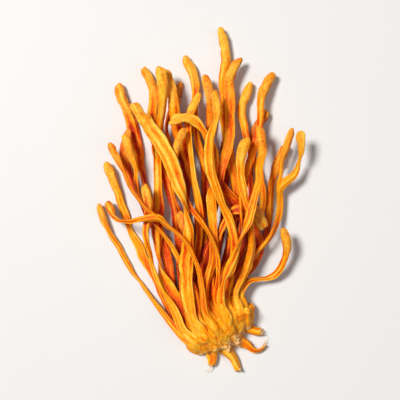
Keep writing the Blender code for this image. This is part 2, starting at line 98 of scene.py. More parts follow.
# The stems, in the order in which they lie, the lowest first. A row holds what STEM_KEYS names. "at" is the
# root's place along the front wall and "up" the height of its centre. "wide" is the width at mid-length and
# "flat" its ratio to the thickness. "head" is the length and the width of the club. "twist" holds the turn of
# the section at equal steps from root to tip, and "lift" raises the tip. "way" is the rest of the route, in
# plan.
FIRST, SECOND, THIRD, FOURTH, FIFTH = 1.5, 3.8, 6.1, 8.4, 10.7
STEM_KEYS = ("at", "up", "wide", "flat", "head", "twist", "lift", "way")
STEM_ROWS = (
    (-12.0, FIRST, 3.0, 2.1, (13, 3.6), (0, 20, -10, 40), 1.5,
     [(-18, 5), (-21.5, 12), (-24.5, 20), (-28.5, 28), (-32.5, 36), (-35.5, 44), (-38, 52.5), (-41, 60)]),
    (-8.7, FIRST, 4.2, 2.8, (15, 4.0), (0, -15, 20, 190, 180), 1.0,
     [(-15.5, 8.5), (-18, 17.5), (-20, 26), (-22.5, 35), (-25.5, 45), (-28.5, 56), (-30.5, 67), (-33.5, 78),
      (-37.5, 87)]),
    (-5.4, FIRST, 2.9, 1.9, (14, 3.6), (0, 30, 60, 20), 0.0,
     [(-12, 12), (-13, 23), (-13.5, 33), (-12.5, 43), (-13, 54), (-15, 65), (-17, 76), (-15, 88)]),
    (-2.1, FIRST, 3.4, 2.5, (13, 3.8), (0, 10, -30, -60), 0.5,
     [(-8.3, 15), (-8.5, 26), (-7.5, 36), (-6.5, 47), (-7, 58), (-9, 68), (-13, 77)]),
    (1.2, FIRST, 3.8, 2.6, (12, 3.9), (0, -30, -10, 165, 180), 1.0,
     [(-4.5, 17), (-2.5, 27.5), (-0.5, 37.5), (1, 48), (0.5, 59), (1.5, 69)]),
    (4.5, FIRST, 3.5, 2.4, (16, 3.9), (0, 25, 10, -20, 20), 1.5,
     [(-0.5, 19), (2, 30), (4, 40), (4, 51), (2, 62), (0, 74), (0, 86), (1, 97), (-1, 107)]),
    (7.8, FIRST, 3.6, 2.6, (14, 4.0), (0, 20, 50, 20), 1.0,
     [(3.6, 20.5), (7, 29), (9.5, 37.5), (9.5, 48), (9.5, 58), (10.5, 69), (15.5, 78)]),
    (11.1, FIRST, 2.9, 1.9, (12, 3.7), (0, -20, 20, 50), 2.0,
     [(8, 19.5), (12.5, 27.5), (15.5, 36.5), (16.5, 47), (17.5, 57), (21.5, 66)]),
    (-10.6, SECOND, 3.7, 2.4, (14, 3.8), (0, -10, 20, -160, -175), 1.0,
     [(-17, 7.5), (-18.5, 16.5), (-19.5, 25), (-21, 32), (-24.5, 38), (-28.5, 44.5), (-32, 52), (-34.5, 61),
      (-32.5, 71)]),
    (-7.1, SECOND, 3.5, 2.6, (14, 3.7), (0, 30, 0, 30), 0.5,
     [(-13.5, 11.5), (-15, 22), (-16, 33), (-17.5, 44), (-20, 54), (-23, 64), (-24.5, 75), (-24.5, 85),
      (-28.5, 93)]),
    (-3.8, SECOND, 2.4, 1.7, (11, 3.3), (0, 40, 80, 120), 1.0,
     [(-10, 14.5), (-11, 22.5), (-12, 30), (-13.5, 38), (-16.5, 45.5), (-18, 54), (-18.5, 64), (-19.5, 73),
      (-15.5, 82)]),
    (-0.5, SECOND, 4.5, 3.0, (15, 4.0), (0, 5, 20, 185, 170, 190), 0.0,
     [(-6, 16.5), (-6.5, 24), (-7, 31), (-8, 39), (-9, 47), (-11, 55), (-13.5, 63), (-16, 71.5), (-17.5, 81),
      (-19.5, 91.5)]),
    (2.8, SECOND, 3.2, 2.1, (14, 3.7), (0, 60, 20, -20), 0.5,
     [(-1.8, 18.5), (1, 26), (2.5, 33), (1.5, 41), (-1.5, 49), (-5.5, 57), (-9, 66.5), (-10, 77), (-10, 87),
      (-13.5, 97)]),
    (6.1, SECOND, 2.7, 1.9, (13, 3.5), (0, -40, 20, 0), 1.5,
     [(2.3, 20), (8, 29), (12.5, 39), (13.5, 49), (11, 58), (8, 68), (6.5, 79), (9.5, 88)]),
    (9.4, SECOND, 4.2, 2.8, (14, 4.1), (0, 20, 10, 30, 190, 180), 1.0,
     [(6.5, 19), (10.5, 24.5), (12, 31), (9.5, 37), (5, 43), (0.5, 50), (-3, 58.5), (-4.5, 68), (-4.5, 79),
      (-7, 90)]),
    (-12.0, THIRD, 2.3, 1.9, (10, 3.2), (0, 60, 20, 50), 1.0,
     [(-18.5, 4), (-23.5, 10), (-28, 16), (-32.5, 22.5), (-36.5, 30), (-41, 37), (-44, 45)]),
    (-8.8, THIRD, 4.2, 2.9, (12, 4.2), (0, 10, 170, 190, 150, 180), 1.0,
     [(-15.5, 8.5), (-19, 15.5), (-21.5, 22), (-22.5, 29), (-23, 37.5), (-23, 47), (-23, 57.5), (-23, 66.5),
      (-21.5, 74), (-20.5, 82.5), (-22, 92)]),
    (-5.5, THIRD, 2.9, 2.0, (13, 3.6), (0, 30, 60, 30), 1.0,
     [(-12, 12.5), (-10, 23), (-8.5, 33), (-8.5, 44), (-10.5, 54), (-11.5, 64), (-12, 74), (-8.5, 83.5)]),
    (-2.2, THIRD, 3.8, 2.7, (13, 3.8), (0, -20, -190, -170, -200), 1.0,
     [(-8.2, 15), (-6, 25), (-4, 34.5), (-3, 45), (-1, 56), (1.5, 66), (2, 77), (2, 87), (5.5, 96)]),
    (1.1, THIRD, 3.3, 2.1, (14, 4.8), (0, 20, 10, 0), 1.0,
     [(-4.6, 17), (-4, 27), (-1, 36), (4, 43), (10, 42), (14, 36)]),
    (4.4, THIRD, 3.0, 2.1, (13, 3.7), (0, 20, 190, 170, 200), 1.5,
     [(-0.3, 19), (3.5, 27), (5.5, 36), (6, 45), (7.5, 54.5), (10.5, 63.5), (12.5, 73), (13, 83),
      (17.5, 91)]),
    (7.7, THIRD, 2.6, 1.8, (12, 3.5), (0, -40, -20, -50), 2.0,
     [(4, 20), (10.5, 27), (16.5, 34), (19.5, 42.5), (19.5, 52), (20.5, 62), (24, 71)]),
    (11.0, THIRD, 2.8, 1.9, (11, 3.6), (0, 20, 40), 2.0,
     [(8.5, 18), (15, 19), (20, 23), (22, 29), (20, 37)]),
    (-7.1, FOURTH, 3.0, 1.9, (11, 4.4), (0, 20, 40), 2.0,
     [(-13.5, 11.5), (-14, 23), (-12.5, 34), (-16, 42.5)]),
    (-3.8, FOURTH, 3.0, 2.3, (13, 3.6), (0, 30, 70, 20), 1.0,
     [(-10, 15), (-14.5, 24.5), (-19.5, 33), (-25.5, 40.5), (-29.5, 49.5), (-31, 59.5), (-34, 69)]),
    (-0.5, FOURTH, 3.5, 2.4, (12, 3.9), (0, -20, 20, 170, 180), 1.5,
     [(-6, 16.8), (-3.5, 27), (-4, 38), (-4, 49), (-3.5, 59), (-6, 68.5), (-12, 74), (-19, 73)]),
    (2.8, FOURTH, 2.7, 2.0, (12, 3.5), (0, 60, 20, 60), 1.0,
     [(-2, 19), (-2.5, 28.5), (-6, 36.5), (-11.5, 43.5), (-15, 52.5), (-16.5, 62), (-13.5, 71)]),
    (-10.4, FOURTH, 3.2, 2.2, (12, 4.0), (0, 20, 60, 170, 180), 1.5,
     [(-17, 7.8), (-22, 16.5), (-25, 25), (-26.5, 34), (-25.5, 43), (-27.5, 52)]),
    (9.4, FOURTH, 3.0, 2.0, (12, 3.8), (0, -30, 10, 40), 1.5,
     [(6.5, 19.2), (9, 28), (9, 38), (6.5, 48), (5.5, 58), (8, 68)]),
    (-5.4, FIFTH, 4.0, 2.8, (13, 4.0), (0, 10, -10, 165, 180, 170), 1.0,
     [(-12, 12.5), (-12.5, 23), (-12, 34), (-13.5, 45), (-17, 55.5), (-21.5, 65), (-27, 73), (-31, 80)]),
    (6.1, FOURTH, 2.8, 2.0, (12, 3.6), (0, 30, 10, 60), 1.0,
     [(2.4, 20.3), (4, 29), (2.5, 38), (-1.5, 47), (-4.5, 56.5), (-4.5, 66), (-2.5, 75), (-3.5, 84)]),
    (4.4, FIFTH, 3.3, 2.3, (12, 3.8), (0, 20, -160, -180, -190), 1.5,
     [(-0.2, 19), (3.5, 27.5), (6.5, 35.5), (9, 43.5), (11.5, 52), (13, 62), (12, 72)]),
    (-1.6, FIFTH, 2.6, 1.9, (12, 3.4), (0, 40, 80, 40), 1.0,
     [(-7.5, 15.8), (-9, 23), (-12.5, 31), (-18.5, 37.5), (-25.5, 43), (-31.5, 50), (-35.5, 58), (-40, 66)]),
)
STEMS = {f"stem_{number:02d}": dict(zip(STEM_KEYS, row)) for number, row in enumerate(STEM_ROWS, 1)}

# Forks: a branch leaves its parent "at" this distance from the parent's root, to its left or right.
LEFT, RIGHT = 1, -1
BRANCHES = {
    "branch_01": dict(
        parent="stem_22", at=50.0, side=RIGHT, wide=2.4, flat=1.8, head=(9, 3.3), twist=(0, 30, 10), lift=1.0,
        way=[(25.8, 58.5), (26.8, 64), (26, 70)]),
    "branch_02": dict(
        parent="stem_33", at=44.0, side=LEFT, wide=2.2, flat=1.7, head=(8, 3.1), twist=(0, 20, 50), lift=1.0,
        way=[(-33, 39), (-37.5, 40.5), (-41, 46)]),
}

# Short torn growths on the back wall of the base. "at" is the root's place along that wall, and "root" the
# width there.
STUBS = {
    "stub_01": dict(
        at=4.6, up=2.6, root=3.0, wide=2.8, flat=1.8, head=(4, 2.4), twist=(0, 20, 0), lift=0.6,
        way=[(10.4, -5.4), (13, -5.6), (15.2, -4)]),
    "stub_02": dict(
        at=-5.6, up=2.3, root=3.6, wide=4.4, flat=2.2, head=(3, 4.0), twist=(0, -15, 10), lift=0.4,
        way=[(4.6, -11.5), (6, -14)]),
    "stub_03": dict(
        at=-11.0, up=2.2, root=3.4, wide=3.8, flat=1.9, head=(2.5, 3.4), twist=(0, 10), lift=0.5,
        way=[(-4.6, -12.6)]),
    "stub_04": dict(
        at=12.2, up=2.4, root=3.0, wide=3.2, flat=1.8, head=(2.5, 2.9), twist=(0, 20), lift=0.8,
        way=[(14.2, 0.4)]),
}

# How the growths lie: the gaps between them, how sharply they bend over each other, and their roots.
ROOT_GAP = 0.35
TORN_GAP = 0.7
ROOT_LEVEL = 3.0
FORK_RUN = 7.0
FORK_GAP = 1.15
FORK_LEAN = 0.9
ROOT_WIDTH = 2.2
ROOT_FLAT = 1.3
ROOT_RUN = 14.0
OVER_GAP = 0.42
SIDE_GAP = 0.35
ARCH = 0.022
ROOT_ARCH = 0.06
ROOT_ARCH_RUN = 10.0
EASE = 3.0
HEAD_FLAT = 1.2
HEAD_SWELL = (-0.2, 0.5)
HEAD_CLOSING = 0.28
LIFT_FROM = 0.6

# The steps along a route, the rings of the flesh, and where a branch starts inside its parent.
WALK = 0.5
CURVE_SAMPLES = 24
STEP = 0.36
SIDES = 40
TIP_RINGS = 16
TIP_REACH = 0.985
FORK_LEAD = (-9.0, -5.5, -2.0)
STEM_START, BRANCH_START, LEAD_LAST = 0.5, 0.12, 0.2
FIRST_SEED, CLUMP_SEED, THREAD_SEED, FIBRE_SEED = 101, 7, 31, 23
BOX_MARGIN = 0.5
SIDE_EDGE, END_EDGE, FOOT_EDGE, CAP_EDGE = 0.04, 0.01, 0.008, 0.004

# The dried flesh. A name that ends in RANGE holds the least and the most that a growth draws, and a range of
# counts stops one short of its end. Other rows are the height of a smooth random change, a share of the size
# or millimetres, and the length over which it goes. Where it goes round the rings as well, the number of its
# waves there follows.
HEAD_ZONE = (-0.1, 0.45)
STEM_WIDTH = 0.97
STEM_NOISE = ((0.15, 12.0), (0.05, 4.5))
RIPPLE = (0.035, 1.8)
HEAD_SHRUNK = 0.04
HEAD_CLUB_RANGE = (-0.16, 0.10)
HEAD_NOISE = (0.10, 3.4)
HEAD_SUNK_RANGE = (0.0, 0.22)
HEAD_SUNK_NOISE = (0.12, 5.0)
KINKS_RANGE = (1, 4)
KINK_FROM = 8.0
KINK_RANGE = (0.12, 0.4)
KINK_REACH_RANGE = (1.5, 4.5)
SWELL_WIDE, SWELL_THICK, SWELL_RUN = 0.22, 0.35, 2.2
FLARE_RANGE = (0.0, 0.34)
FLARE_RUN = 8.0
TURNING = (24.0, 16.0)
CALM_RUN = 8.0
WANDER = ((0.24, 10.0), (0.08, 4.0))
RISE = (0.16, 7.0)
FREE_WANDER = ((0.45, 6.0), (0.12, 2.5))
FREE_RISE = (0.3, 5.5)
ROOM = (3.6, 6.5)
BEND_SEED = 1000
SPACED_RANGE = (-0.25, 0.25)
PLANES_RANGE = (5, 8)
PLANE_DRIFT = (0.45, 19.0)
PLANE_AWAY = 0.90
PLANE_NOISE = (0.10, 12.0)
PLANE_EDGE = 11
HEAD_ROUNDING = 0.6
FOLDS_RANGE = (4, 7)
FOLD_DRIFT = (0.4, 24.0)
FOLD_WIDE_RANGE = (0.14, 0.34)
FOLD_STRENGTH = 0.6
FOLD_NOISE = (0.9, 13.0)
FOLD_DEPTH_RANGE = (0.16, 0.46)
FOLD_EDGE = 1.35
FOLD_LOST_ON_HEAD = 0.62
FOLD_AT_ROOT = 0.35
RIDGE_REACH = 6
STEM_LUMPS = (0.035, 6.0, 13)
WRINKLED = (1.0, 6.0)
WRINKLED_MORE, WRINKLED_HEAD = 0.2, 0.4
WRINKLES = (0.07, 1.2, 6)
HEAD_LUMPS = ((0.05, 0.8, 13), (0.11, 1.9, 6), (0.06, 4.0, 3))
CURL = (1.1, 14.0)
CURL_MOST = 0.85
DRIED = 0.26
END_FULLNESS = 2.3
RIM = ((0.6, 90.0, 7), (0.4, 90.0, 15))
RIM_DEPTH = 0.9
RIM_FROM, HOLLOW_FROM, BLUNT_FROM = (0.3, 0.95), (0.86, 1), (0, 0.8)
NOTCH_RANGE = (0.0, 0.42)
NOTCH_WIDE = 0.4
SKEW_RANGE = (-0.4, 0.4)
LIFTED_REACH, LIFTED_EASE = 2.0, 0.8

# The marks that the material reads. How deep in the tuft the flesh lies, under other stems, darkens it as
# painted shade.
COVER_ABOVE = (-0.5, 1.2)
COVER_REACH = 3.0
COVER_FULL = 2.2
COVER_LEAST, COVER_FROM = 0.6, (1, 14)
GRAIN_WIDE, GRAIN_RANGE = 1.3, (0, 200)
RIDGE_SHOWN = 3.4
ROOT_REACH = 5
TORN_FROM = (0.55, 0.95)

# The clump: its inside, the stem ends and threads that it is made of, and its mesh. A sheath of the clump's
# flesh runs out over the foot of each stem. LOST holds the place along the front wall, and the share of the
# height, of each stem that broke off.
CORE_OVER = ((0.10, 0.04), (0.06, 0.3), (0.06, 0.60), (0.10, 0.76), (0.22, 0.80), (0.42, 0.73),
             (0.66, 0.56), (0.80, 0.42), (0.86, 0.28), (0.87, 0.06))
CORE_UNDER = (0.8, 0.5, 0.15)
CORE_RINGS = 25
CORE_REACH = 0.97
CORE_ROUNDED, CORE_SQUARE, CORE_ROUNDING = 0.35, 0.8, 0.17
CORE_ENDS = 1.0
DRIFT, SWAY = 1.5, 0.5
SHEATH = (0.6, 3.0, 6.5)
SHEATH_SIZES = (0.35, 0.95, 1.38)
STUB_SHEATH = (0.4, 1.5, 2.8)
STUB_SIZES, STUB_END = (0.4, 0.8, 0.85, 1.0, 1.1), 1.2
FAR = 300.0
STUB_INSIDE = ((1.0, 1.0), (3.0, 1.1), (5.0, 1.2))
STRAND_SIDES = 14
STRAND_SHARES = (0.16, 0.42, 0.72)
STRAND_RANGE = (0.85, 1.15)
STRAND_END_RANGE = (0.7, 1.2)
STRAND_RISE_RANGE = (-0.9, 0.6)
STRAND_UNDER, STRAND_OVER = 0.95, 0.7
STEM_LAST_RANGE, STEM_THICK_RANGE = (0.8, 1.08), (1.15, 1.75)
LOST_LAST_RANGE, LOST_THICK_RANGE = (0.75, 1.02), (0.9, 1.5)
LOST_BACK_RANGE, LOST_DOWN_RANGE, LOST_END_RANGE = (0.2, 1.4), (0.2, 0.8), (0.5, 0.9)
LOST = ((-12.2, 0.72), (-8.6, 0.76), (1.2, 0.76), (7.8, 0.74), (11.4, 0.72), (-12.8, 0.5), (12.6, 0.52),
        (1.4, 0.55), (-6.8, 0.78), (6.0, 0.78), (9.8, 0.62), (13.3, 0.16), (13.2, 0.36), (-13.3, 0.2))
THREADS = 60
THREAD_RANGE = (0.22, 0.5)
THREAD_AWAY_RANGE = (0.85, 1.02)
THREAD_TURN = 0.35
THREAD_LOWEST = 0.4
THREAD_FIRST, THREAD_LAST = 0.3, 0.5
FIBRES_RANGE = (3, 8)
FIBRE_RANGE = (0.05, 0.14)
FIBRE_REACH_RANGE = (0.8, 2.2)
FIBRE_LOWEST = 0.15
FIBRE_SPREAD, FIBRE_OUT, FIBRE_BACK = (1, 1, 0.7), 0.6, 0.9
FIBRE_LEAST, FIBRE_BENDS = 0.5, ((0.5, 0.2), (1, 0.55))
FIBRE_TAPER = (1.5, 1, 0.25)
STUB_FIBRES = 0.6
FIBRE_SIDES = 5
VOXEL = 0.2
SMOOTHING = (0.5, 4)
CRUMB = 1000

# Random waves on the clump: how much they are stretched in each direction, their seed and their height. A
# crease has its depth and its width before them, and no height.
WAVES, WAVE_RANGE, WAVE_PEAK = 24, (0.6, 1.6), 1.2
STRINGS = ((3.6, 3.6, 0.4), 2, 0.07)
CREASES = ((0.20, 0.22, (1.1, 1.1, 0.13), 1), (0.09, 0.25, (2.6, 2.6, 0.3), 9))
CREASE_LEVEL = 0.08
LUMPS = (1.1, 3, 0.14)
CRUMBS = ((4.2, 4, 0.20), (9.0, 5, 0.09))
TORN_PATCHES = (0.8, 6, 0.5)
TONE_PATCHES = (0.35, 8, 0.5)
FAN = 1.6
AT_ONCE = 4000

# Where the clump is torn and where its waves start, and its marks: the painted shading of its relief, with
# what the strands, the fibres and the lumps add, the painted shade, and what it loses towards the back and
# higher up, where the clump is taken as lit, and the others.
TORN_BACK, TORN_LEFT, TORN_EDGE, TORN_EDGE_FROM = (0.55, 0.9), (0.8, 3.6), 0.6, (0.9, 1)
CLUMP_FRONT = (-5, -1.5)
CLUMP_RELIEF_SHADING = (0.60, 0.9, 2.2, 0.6)
CLUMP_SHADE, PALER_FROM, LIT_FROM = (0.62, 0.3), (-4, 5), (2, 9)
CLUMP_ROOT = (-4, 2)
TORN_SHOWN = 0.75
CLUMP_GRAIN, CLUMP_GRAIN_AT = (0.8, 0.8, 1), 37

# Colours, from the painted shade deep in the tuft and in creases to the painted highlight on its open ridges,
# which the flesh's streaks and mottling also move along, then torn flesh, dirt, torn fibres and the floor.
DEEP_SHADE = (0.40, 0.019, 0.001)
RUST = (0.77, 0.080, 0.001)
ORANGE = (0.92, 0.265, 0.002)
GOLD = (1.0, 0.41, 0.007)
PALE = (1.0, 0.58, 0.085)
TORN = (0.98, 0.74, 0.38)
BROWN = (0.26, 0.05, 0.006)
FIBRE_COLOURS = ((0.80, 0.32, 0.04), (0.93, 0.60, 0.24))
FLOOR = (0.68, 0.675, 0.67)
SKY = (0.93, 0.94, 0.96)
LEVELS = ((0.0, DEEP_SHADE), (0.24, RUST), (0.48, ORANGE), (0.76, GOLD), (1.0, PALE))

# The stage, in metres and watts: each lamp's place, size, power and colour.
FLOOR_HALF = 6.0
FLOOR_DOWN = 0.0002
LAMPS = {
    "key": ((-1.1, 0.75, 2.5), 0.7, 92.0, (1.0, 0.985, 0.96)),
    "fill": ((1.8, -0.6, 2.0), 2.0, 8.8, (1, 1, 1)),
    "top": ((0.0, 0.0, 3.5), 2.5, 15.0, (1, 1, 1)),
}
LAMPS_AT = 0.005
SKY_STRENGTH = 0.08
LENS, SENSOR = 100.0, 36.0
FILLED = 0.88
FOCUS = 0.008


def ramp(value, start, end):
    """0 before start, 1 after end, and a smooth rise between them."""
    share = np.clip((value - start) / (end - start), 0, 1)
    return share * share * (3 - 2 * share)


def wall_directions():
    """The direction along the front wall at its middle, and the one that it faces there."""
    turn = math.radians(BASE_TURN)
    return np.array([math.cos(turn), math.sin(turn)]), np.array([-math.sin(turn), math.cos(turn)])


def front_wall(along):
    """The point of the front wall this far along it, and the direction that it faces."""
    across, outward = wall_directions()
    lean = along / BASE_BULGE_RADIUS
    place = np.array(BASE_FRONT) + along * across - 0.5 * along * lean * outward
    facing = outward * math.cos(lean) + across * math.sin(lean)
    return place, facing


def back_edge(along):
    """The point of the torn back wall opposite this point of the front wall."""
    place, facing = front_wall(along)
    across = np.array([facing[1], -facing[0]])
    torn = BASE_TORN * math.sin(BASE_TORN_TURN * along + BASE_TORN_START)
    depth = BASE_DEPTH * (1 - BASE_THINNING * (along / BASE_HALF_LENGTH) ** 2 + torn)
    return place - depth * facing - BASE_NARROWING * along * across


def back_wall(along):
    """The point of the torn back wall this far along it, and the direction that it faces."""
    way = unit(back_edge(along + ROOT_PITCH / 2) - back_edge(along - ROOT_PITCH / 2))
    return back_edge(along), np.array([way[1], -way[0]])


def unit(vectors):
    """The directions of the vectors, as vectors of length 1."""
    return vectors / np.linalg.norm(vectors, axis=-1, keepdims=True)


def run_along(line):
    """The distance from the start of the line to each of its points."""
    return np.concatenate([[0], np.cumsum(np.linalg.norm(np.diff(line, axis=0), axis=1))])


def points_at(places, run, line):
    """The points of the line at these distances, where run is the distance to each of its own points."""
    return np.column_stack([np.interp(places, run, values) for values in line.T])


def smooth_route(points, step):
    """Equal steps along a smooth curve through the points."""
    points = np.array(points, float)
    legs = np.diff(points, axis=0)
    lengths = np.linalg.norm(legs, axis=1)[:, None]
    headings = unit(legs)
    through = unit(headings[:-1] * lengths[1:] + headings[1:] * lengths[:-1])
    tangents = np.vstack([headings[:1], through, headings[-1:]])
    t = np.linspace(0, 1, CURVE_SAMPLES, endpoint=False)[:, None]
    runs = [
        (1 + 2 * t) * (1 - t) ** 2 * points[leg] + t * (1 - t) ** 2 * lengths[leg] * tangents[leg]
        + t * t * (3 - 2 * t) * points[leg + 1] - t * t * (1 - t) * lengths[leg] * tangents[leg + 1]
        for leg in range(len(legs))
    ]
    dense = np.vstack(runs + [points[-1:]])
    run = run_along(dense)
    return points_at(np.linspace(0, run[-1], max(4, round(run[-1] / step))), run, dense)


def eased(values, places, reach):
    """The values along a line, each one averaged with those about this far from it."""
    weight = np.exp(-0.5 * ((places[:, None] - places[None]) / reach) ** 2)
    return (weight * values[None]).sum(axis=1) / weight.sum(axis=1)


def section_sizes(growth, run):
    """Half the width, half the thickness and the twist in radians at each distance from the root."""
    length = run[-1]
    head_length, head_width = growth["head"]
    root = growth.get("root", min(ROOT_WIDTH, growth["wide"])) / 2
    half = root + (growth["wide"] / 2 - root) * ramp(run, 0, ROOT_RUN)
    flat = ROOT_FLAT + (growth["flat"] - ROOT_FLAT) * ramp(run, 0, ROOT_RUN)
    into_head = (run - (length - head_length)) / head_length
    swell = ramp(into_head, *HEAD_SWELL)
    half = half + (head_width / 2 - half) * swell
    flat = flat + (HEAD_FLAT - flat) * swell
    closing = np.clip((into_head - 1) / HEAD_CLOSING + 1, 0, 1)
    half = half * np.sqrt(np.maximum(1 - closing ** 2, 0))
    turns = np.radians(growth["twist"])
    twist = np.interp(run / length, np.linspace(0, 1, len(turns)), turns)
    return half, half / flat, twist


def lay(name, growth, start, facing, up, laid):
    """The route in space of a growth from its root, over the floor and over what is laid already."""
    first = [start, start + ROOT_LEVEL * facing]
    plan = smooth_route(first + [np.array(point, float) for point in growth["way"]], WALK)
    run = run_along(plan)
    half, thin, twist = section_sizes(growth, run)
    high = np.hypot(half * np.sin(twist), thin * np.cos(twist))
    wide = np.hypot(half * np.cos(twist), thin * np.sin(twist))
    arch = ARCH + ROOT_ARCH * np.exp(-run / ROOT_ARCH_RUN)
    clear = high + OVER_GAP + arch * EASE ** 2
    need = high.copy()
    for other, (other_plan, other_height, other_high, other_wide) in laid.items():
        apart = np.linalg.norm(plan[:, None] - other_plan[None], axis=2)
        share = apart / (wide[:, None] + other_wide[None] + SIDE_GAP)
        rise = (clear[:, None] + other_high[None]) * np.cbrt(np.maximum(1 - share ** 3, 0))
        over = np.where(share < 1, other_height[None] + rise, 0).max(axis=1)
        if other == growth.get("parent"):
            over[run < FORK_RUN] = 0
        need = np.maximum(need, over)
    level = run < ROOT_LEVEL
    need[level] = max(up, need[level].max())
    need = need + growth["lift"] * ramp(run / run[-1], LIFT_FROM, 1)
    # The route is mirrored about the root, so that it leaves the wall level.
    both_ways = np.concatenate([-run[:0:-1], run])
    between = both_ways[:, None] - both_ways[None]
    bend = np.concatenate([arch[:0:-1], arch])
    arched = (np.concatenate([need[:0:-1], need])[None] - bend[None] * between ** 2).max(axis=1)
    height = eased(arched, both_ways, EASE)[len(run) - 1:]
    laid[name] = (plan, height, high, wide)
    return np.column_stack([plan, height])


def smooth_noise(rng, run, *rows):
    """Smooth random lines along the run added up, each with its height and the length of its changes."""
    total = 0
    for height, length in rows:
        knots = rng.uniform(-1, 1, int((run[-1] - run[0]) / length) + 4)
        place = (run - run[0]) / length + rng.uniform()
        low = np.floor(place).astype(int)
        share = ramp(place - low, 0, 1)
        total = total + height * (knots[low] * (1 - share) + knots[low + 1] * share)
    return total


def wrap_noise(rng, run, around, *rows):
    """The same on rings, closed on itself round the ring, each with its number of waves there too."""
    total = 0
    for height, length, count in rows:
        knots = rng.uniform(-1, 1, (int((run[-1] - run[0]) / length) + 4, count))
        place = ((run - run[0]) / length + rng.uniform())[:, None]
        low = np.floor(place).astype(int)
        down = ramp(place - low, 0, 1)
        turn = (around / (2 * math.pi) * count)[None, :] % count
        left = np.floor(turn).astype(int) % count
        right = (left + 1) % count
        across = ramp(turn - np.floor(turn), 0, 1)
        top = knots[low, left] * (1 - across) + knots[low, right] * across
        bottom = knots[low + 1, left] * (1 - across) + knots[low + 1, right] * across
        total = total + height * (top * (1 - down) + bottom * down)
    return total


def places_along(growth, length, buried):
    """Where the rings are, from the buried root to just short of the tip."""
    tip = HEAD_CLOSING * growth["head"][0]
    body = np.arange(-buried, length - tip, STEP)
    angles = np.linspace(0, TIP_REACH * math.pi / 2, TIP_RINGS + 1)[1:]
    return np.concatenate([body, length - tip * (1 - np.sin(angles))])


def across_and_up(line):
    """The direction of the line at its points, the level one across it, and the one square to both."""
    forward = unit(np.gradient(line, axis=0))
    side = np.cross(forward, np.array([0, 0, 1]))
    side /= np.maximum(np.linalg.norm(side, axis=1), 1e-6)[:, None]
    return forward, side, np.cross(side, forward)


def lead_through(inside, route):
    """A curve through points inside the clump or the parent, deepest first, to the root of the route."""
    line = smooth_route(np.vstack([inside, route[:1], route[4:5]]), WALK / 2)
    return line[:np.linalg.norm(line - route[0], axis=1).argmin()]


def fork_lead(parent, at, route):
    """A curve along the parent and out of its side to the root of a branch."""
    return lead_through(points_at(at + np.array(FORK_LEAD), run_along(parent), parent), route)


def shade_under_stems(name, routes):
    """How deep in the tuft each point of the route lies, from 0 in the open to 1 under many stems; it sets
    the painted shade there.
    """
    route = routes[name]
    total = np.zeros(len(route))
    for other, line in routes.items():
        if other == name:
            continue
        apart = np.linalg.norm(route[:, None, :2] - line[None, :, :2], axis=2)
        above = ramp(line[None, :, 2] - route[:, None, 2], *COVER_ABOVE)
        total += (above * np.exp(-((apart / COVER_REACH) ** 2))).max(axis=1)
    return np.clip(total / COVER_FULL, 0, 1)


def room_round(name, routes):
    """How free each point of the route is to bend, from 0 among other stems to 1 far from them."""
    route = routes[name]
    apart = [np.linalg.norm(route[:, None] - line[None], axis=2).min(axis=1)
             for other, line in routes.items() if other != name]
    return ramp(np.min(apart, axis=0), *ROOM)


def flesh_sizes(rng, growth, run, places, into_head, head):
    """Half the width and half the thickness of the dried flesh at each place, and its twist."""
    head_length = growth["head"][0]
    half, thin, twist = section_sizes(growth, run)
    open_run = run < run[-1] - HEAD_CLOSING * head_length
    half = np.interp(places, run[open_run], half[open_run])
    thin = np.interp(places, run[open_run], thin[open_run])
    twist = np.interp(places, run, twist)
    stem = 1 - head
    # The width wanders, and is pinched here and there where the stem has kinked.
    half = half * (STEM_WIDTH + stem * smooth_noise(rng, places, *STEM_NOISE))
    half = half * (1 + smooth_noise(rng, places, RIPPLE))
    # The head may be a club that swells towards its end, or taper, and may have sunk in.
    club = rng.uniform(*HEAD_CLUB_RANGE) * np.clip(2 * into_head - 1, -1, 1)
    half = half * (1 + head * (club + smooth_noise(rng, places, HEAD_NOISE) - HEAD_SHRUNK))
    sunk = rng.uniform(*HEAD_SUNK_RANGE) + smooth_noise(rng, places, HEAD_SUNK_NOISE)
    thin = thin * (1 - head * sunk)
    kink_end = max(KINK_FROM + 1, run[-1] - head_length)
    for kink in rng.uniform(KINK_FROM, kink_end, rng.randint(*KINKS_RANGE)):
        pinch, reach = rng.uniform(*KINK_RANGE), rng.uniform(*KINK_REACH_RANGE)
        half = half * (1 - pinch * stem * np.exp(-((places - kink) / reach) ** 2))
    # It swells and flares at its root.
    swell = np.exp(-np.maximum(places, 0) / SWELL_RUN)
    flare = rng.uniform(*FLARE_RANGE) * np.exp(-np.maximum(places, 0) / FLARE_RUN)
    half = half * (1 + SWELL_WIDE * swell + flare)
    thin = thin * (1 + SWELL_THICK * swell)
    return half, thin, twist + stem * np.radians(smooth_noise(rng, places, TURNING))


def flesh_line(rng, seed, places, line, room, calm):
    """The middle of the flesh, which wanders off the route, and the directions along, across and up."""
    bends = np.random.RandomState(BEND_SEED + seed)
    wander = smooth_noise(rng, places, *WANDER) + room * smooth_noise(bends, places, *FREE_WANDER)
    rise = smooth_noise(rng, places, RISE) + room * smooth_noise(bends, places, FREE_RISE)
    forward, side, upward = across_and_up(line)
    return line + (calm * wander)[:, None] * side + (calm * rise)[:, None] * upward, forward, side, upward


def spaced_turn(rng, number, count):
    """One of so many turns spaced round the ring, a little off its even place."""
    return 2 * math.pi * (number + rng.uniform(*SPACED_RANGE)) / count


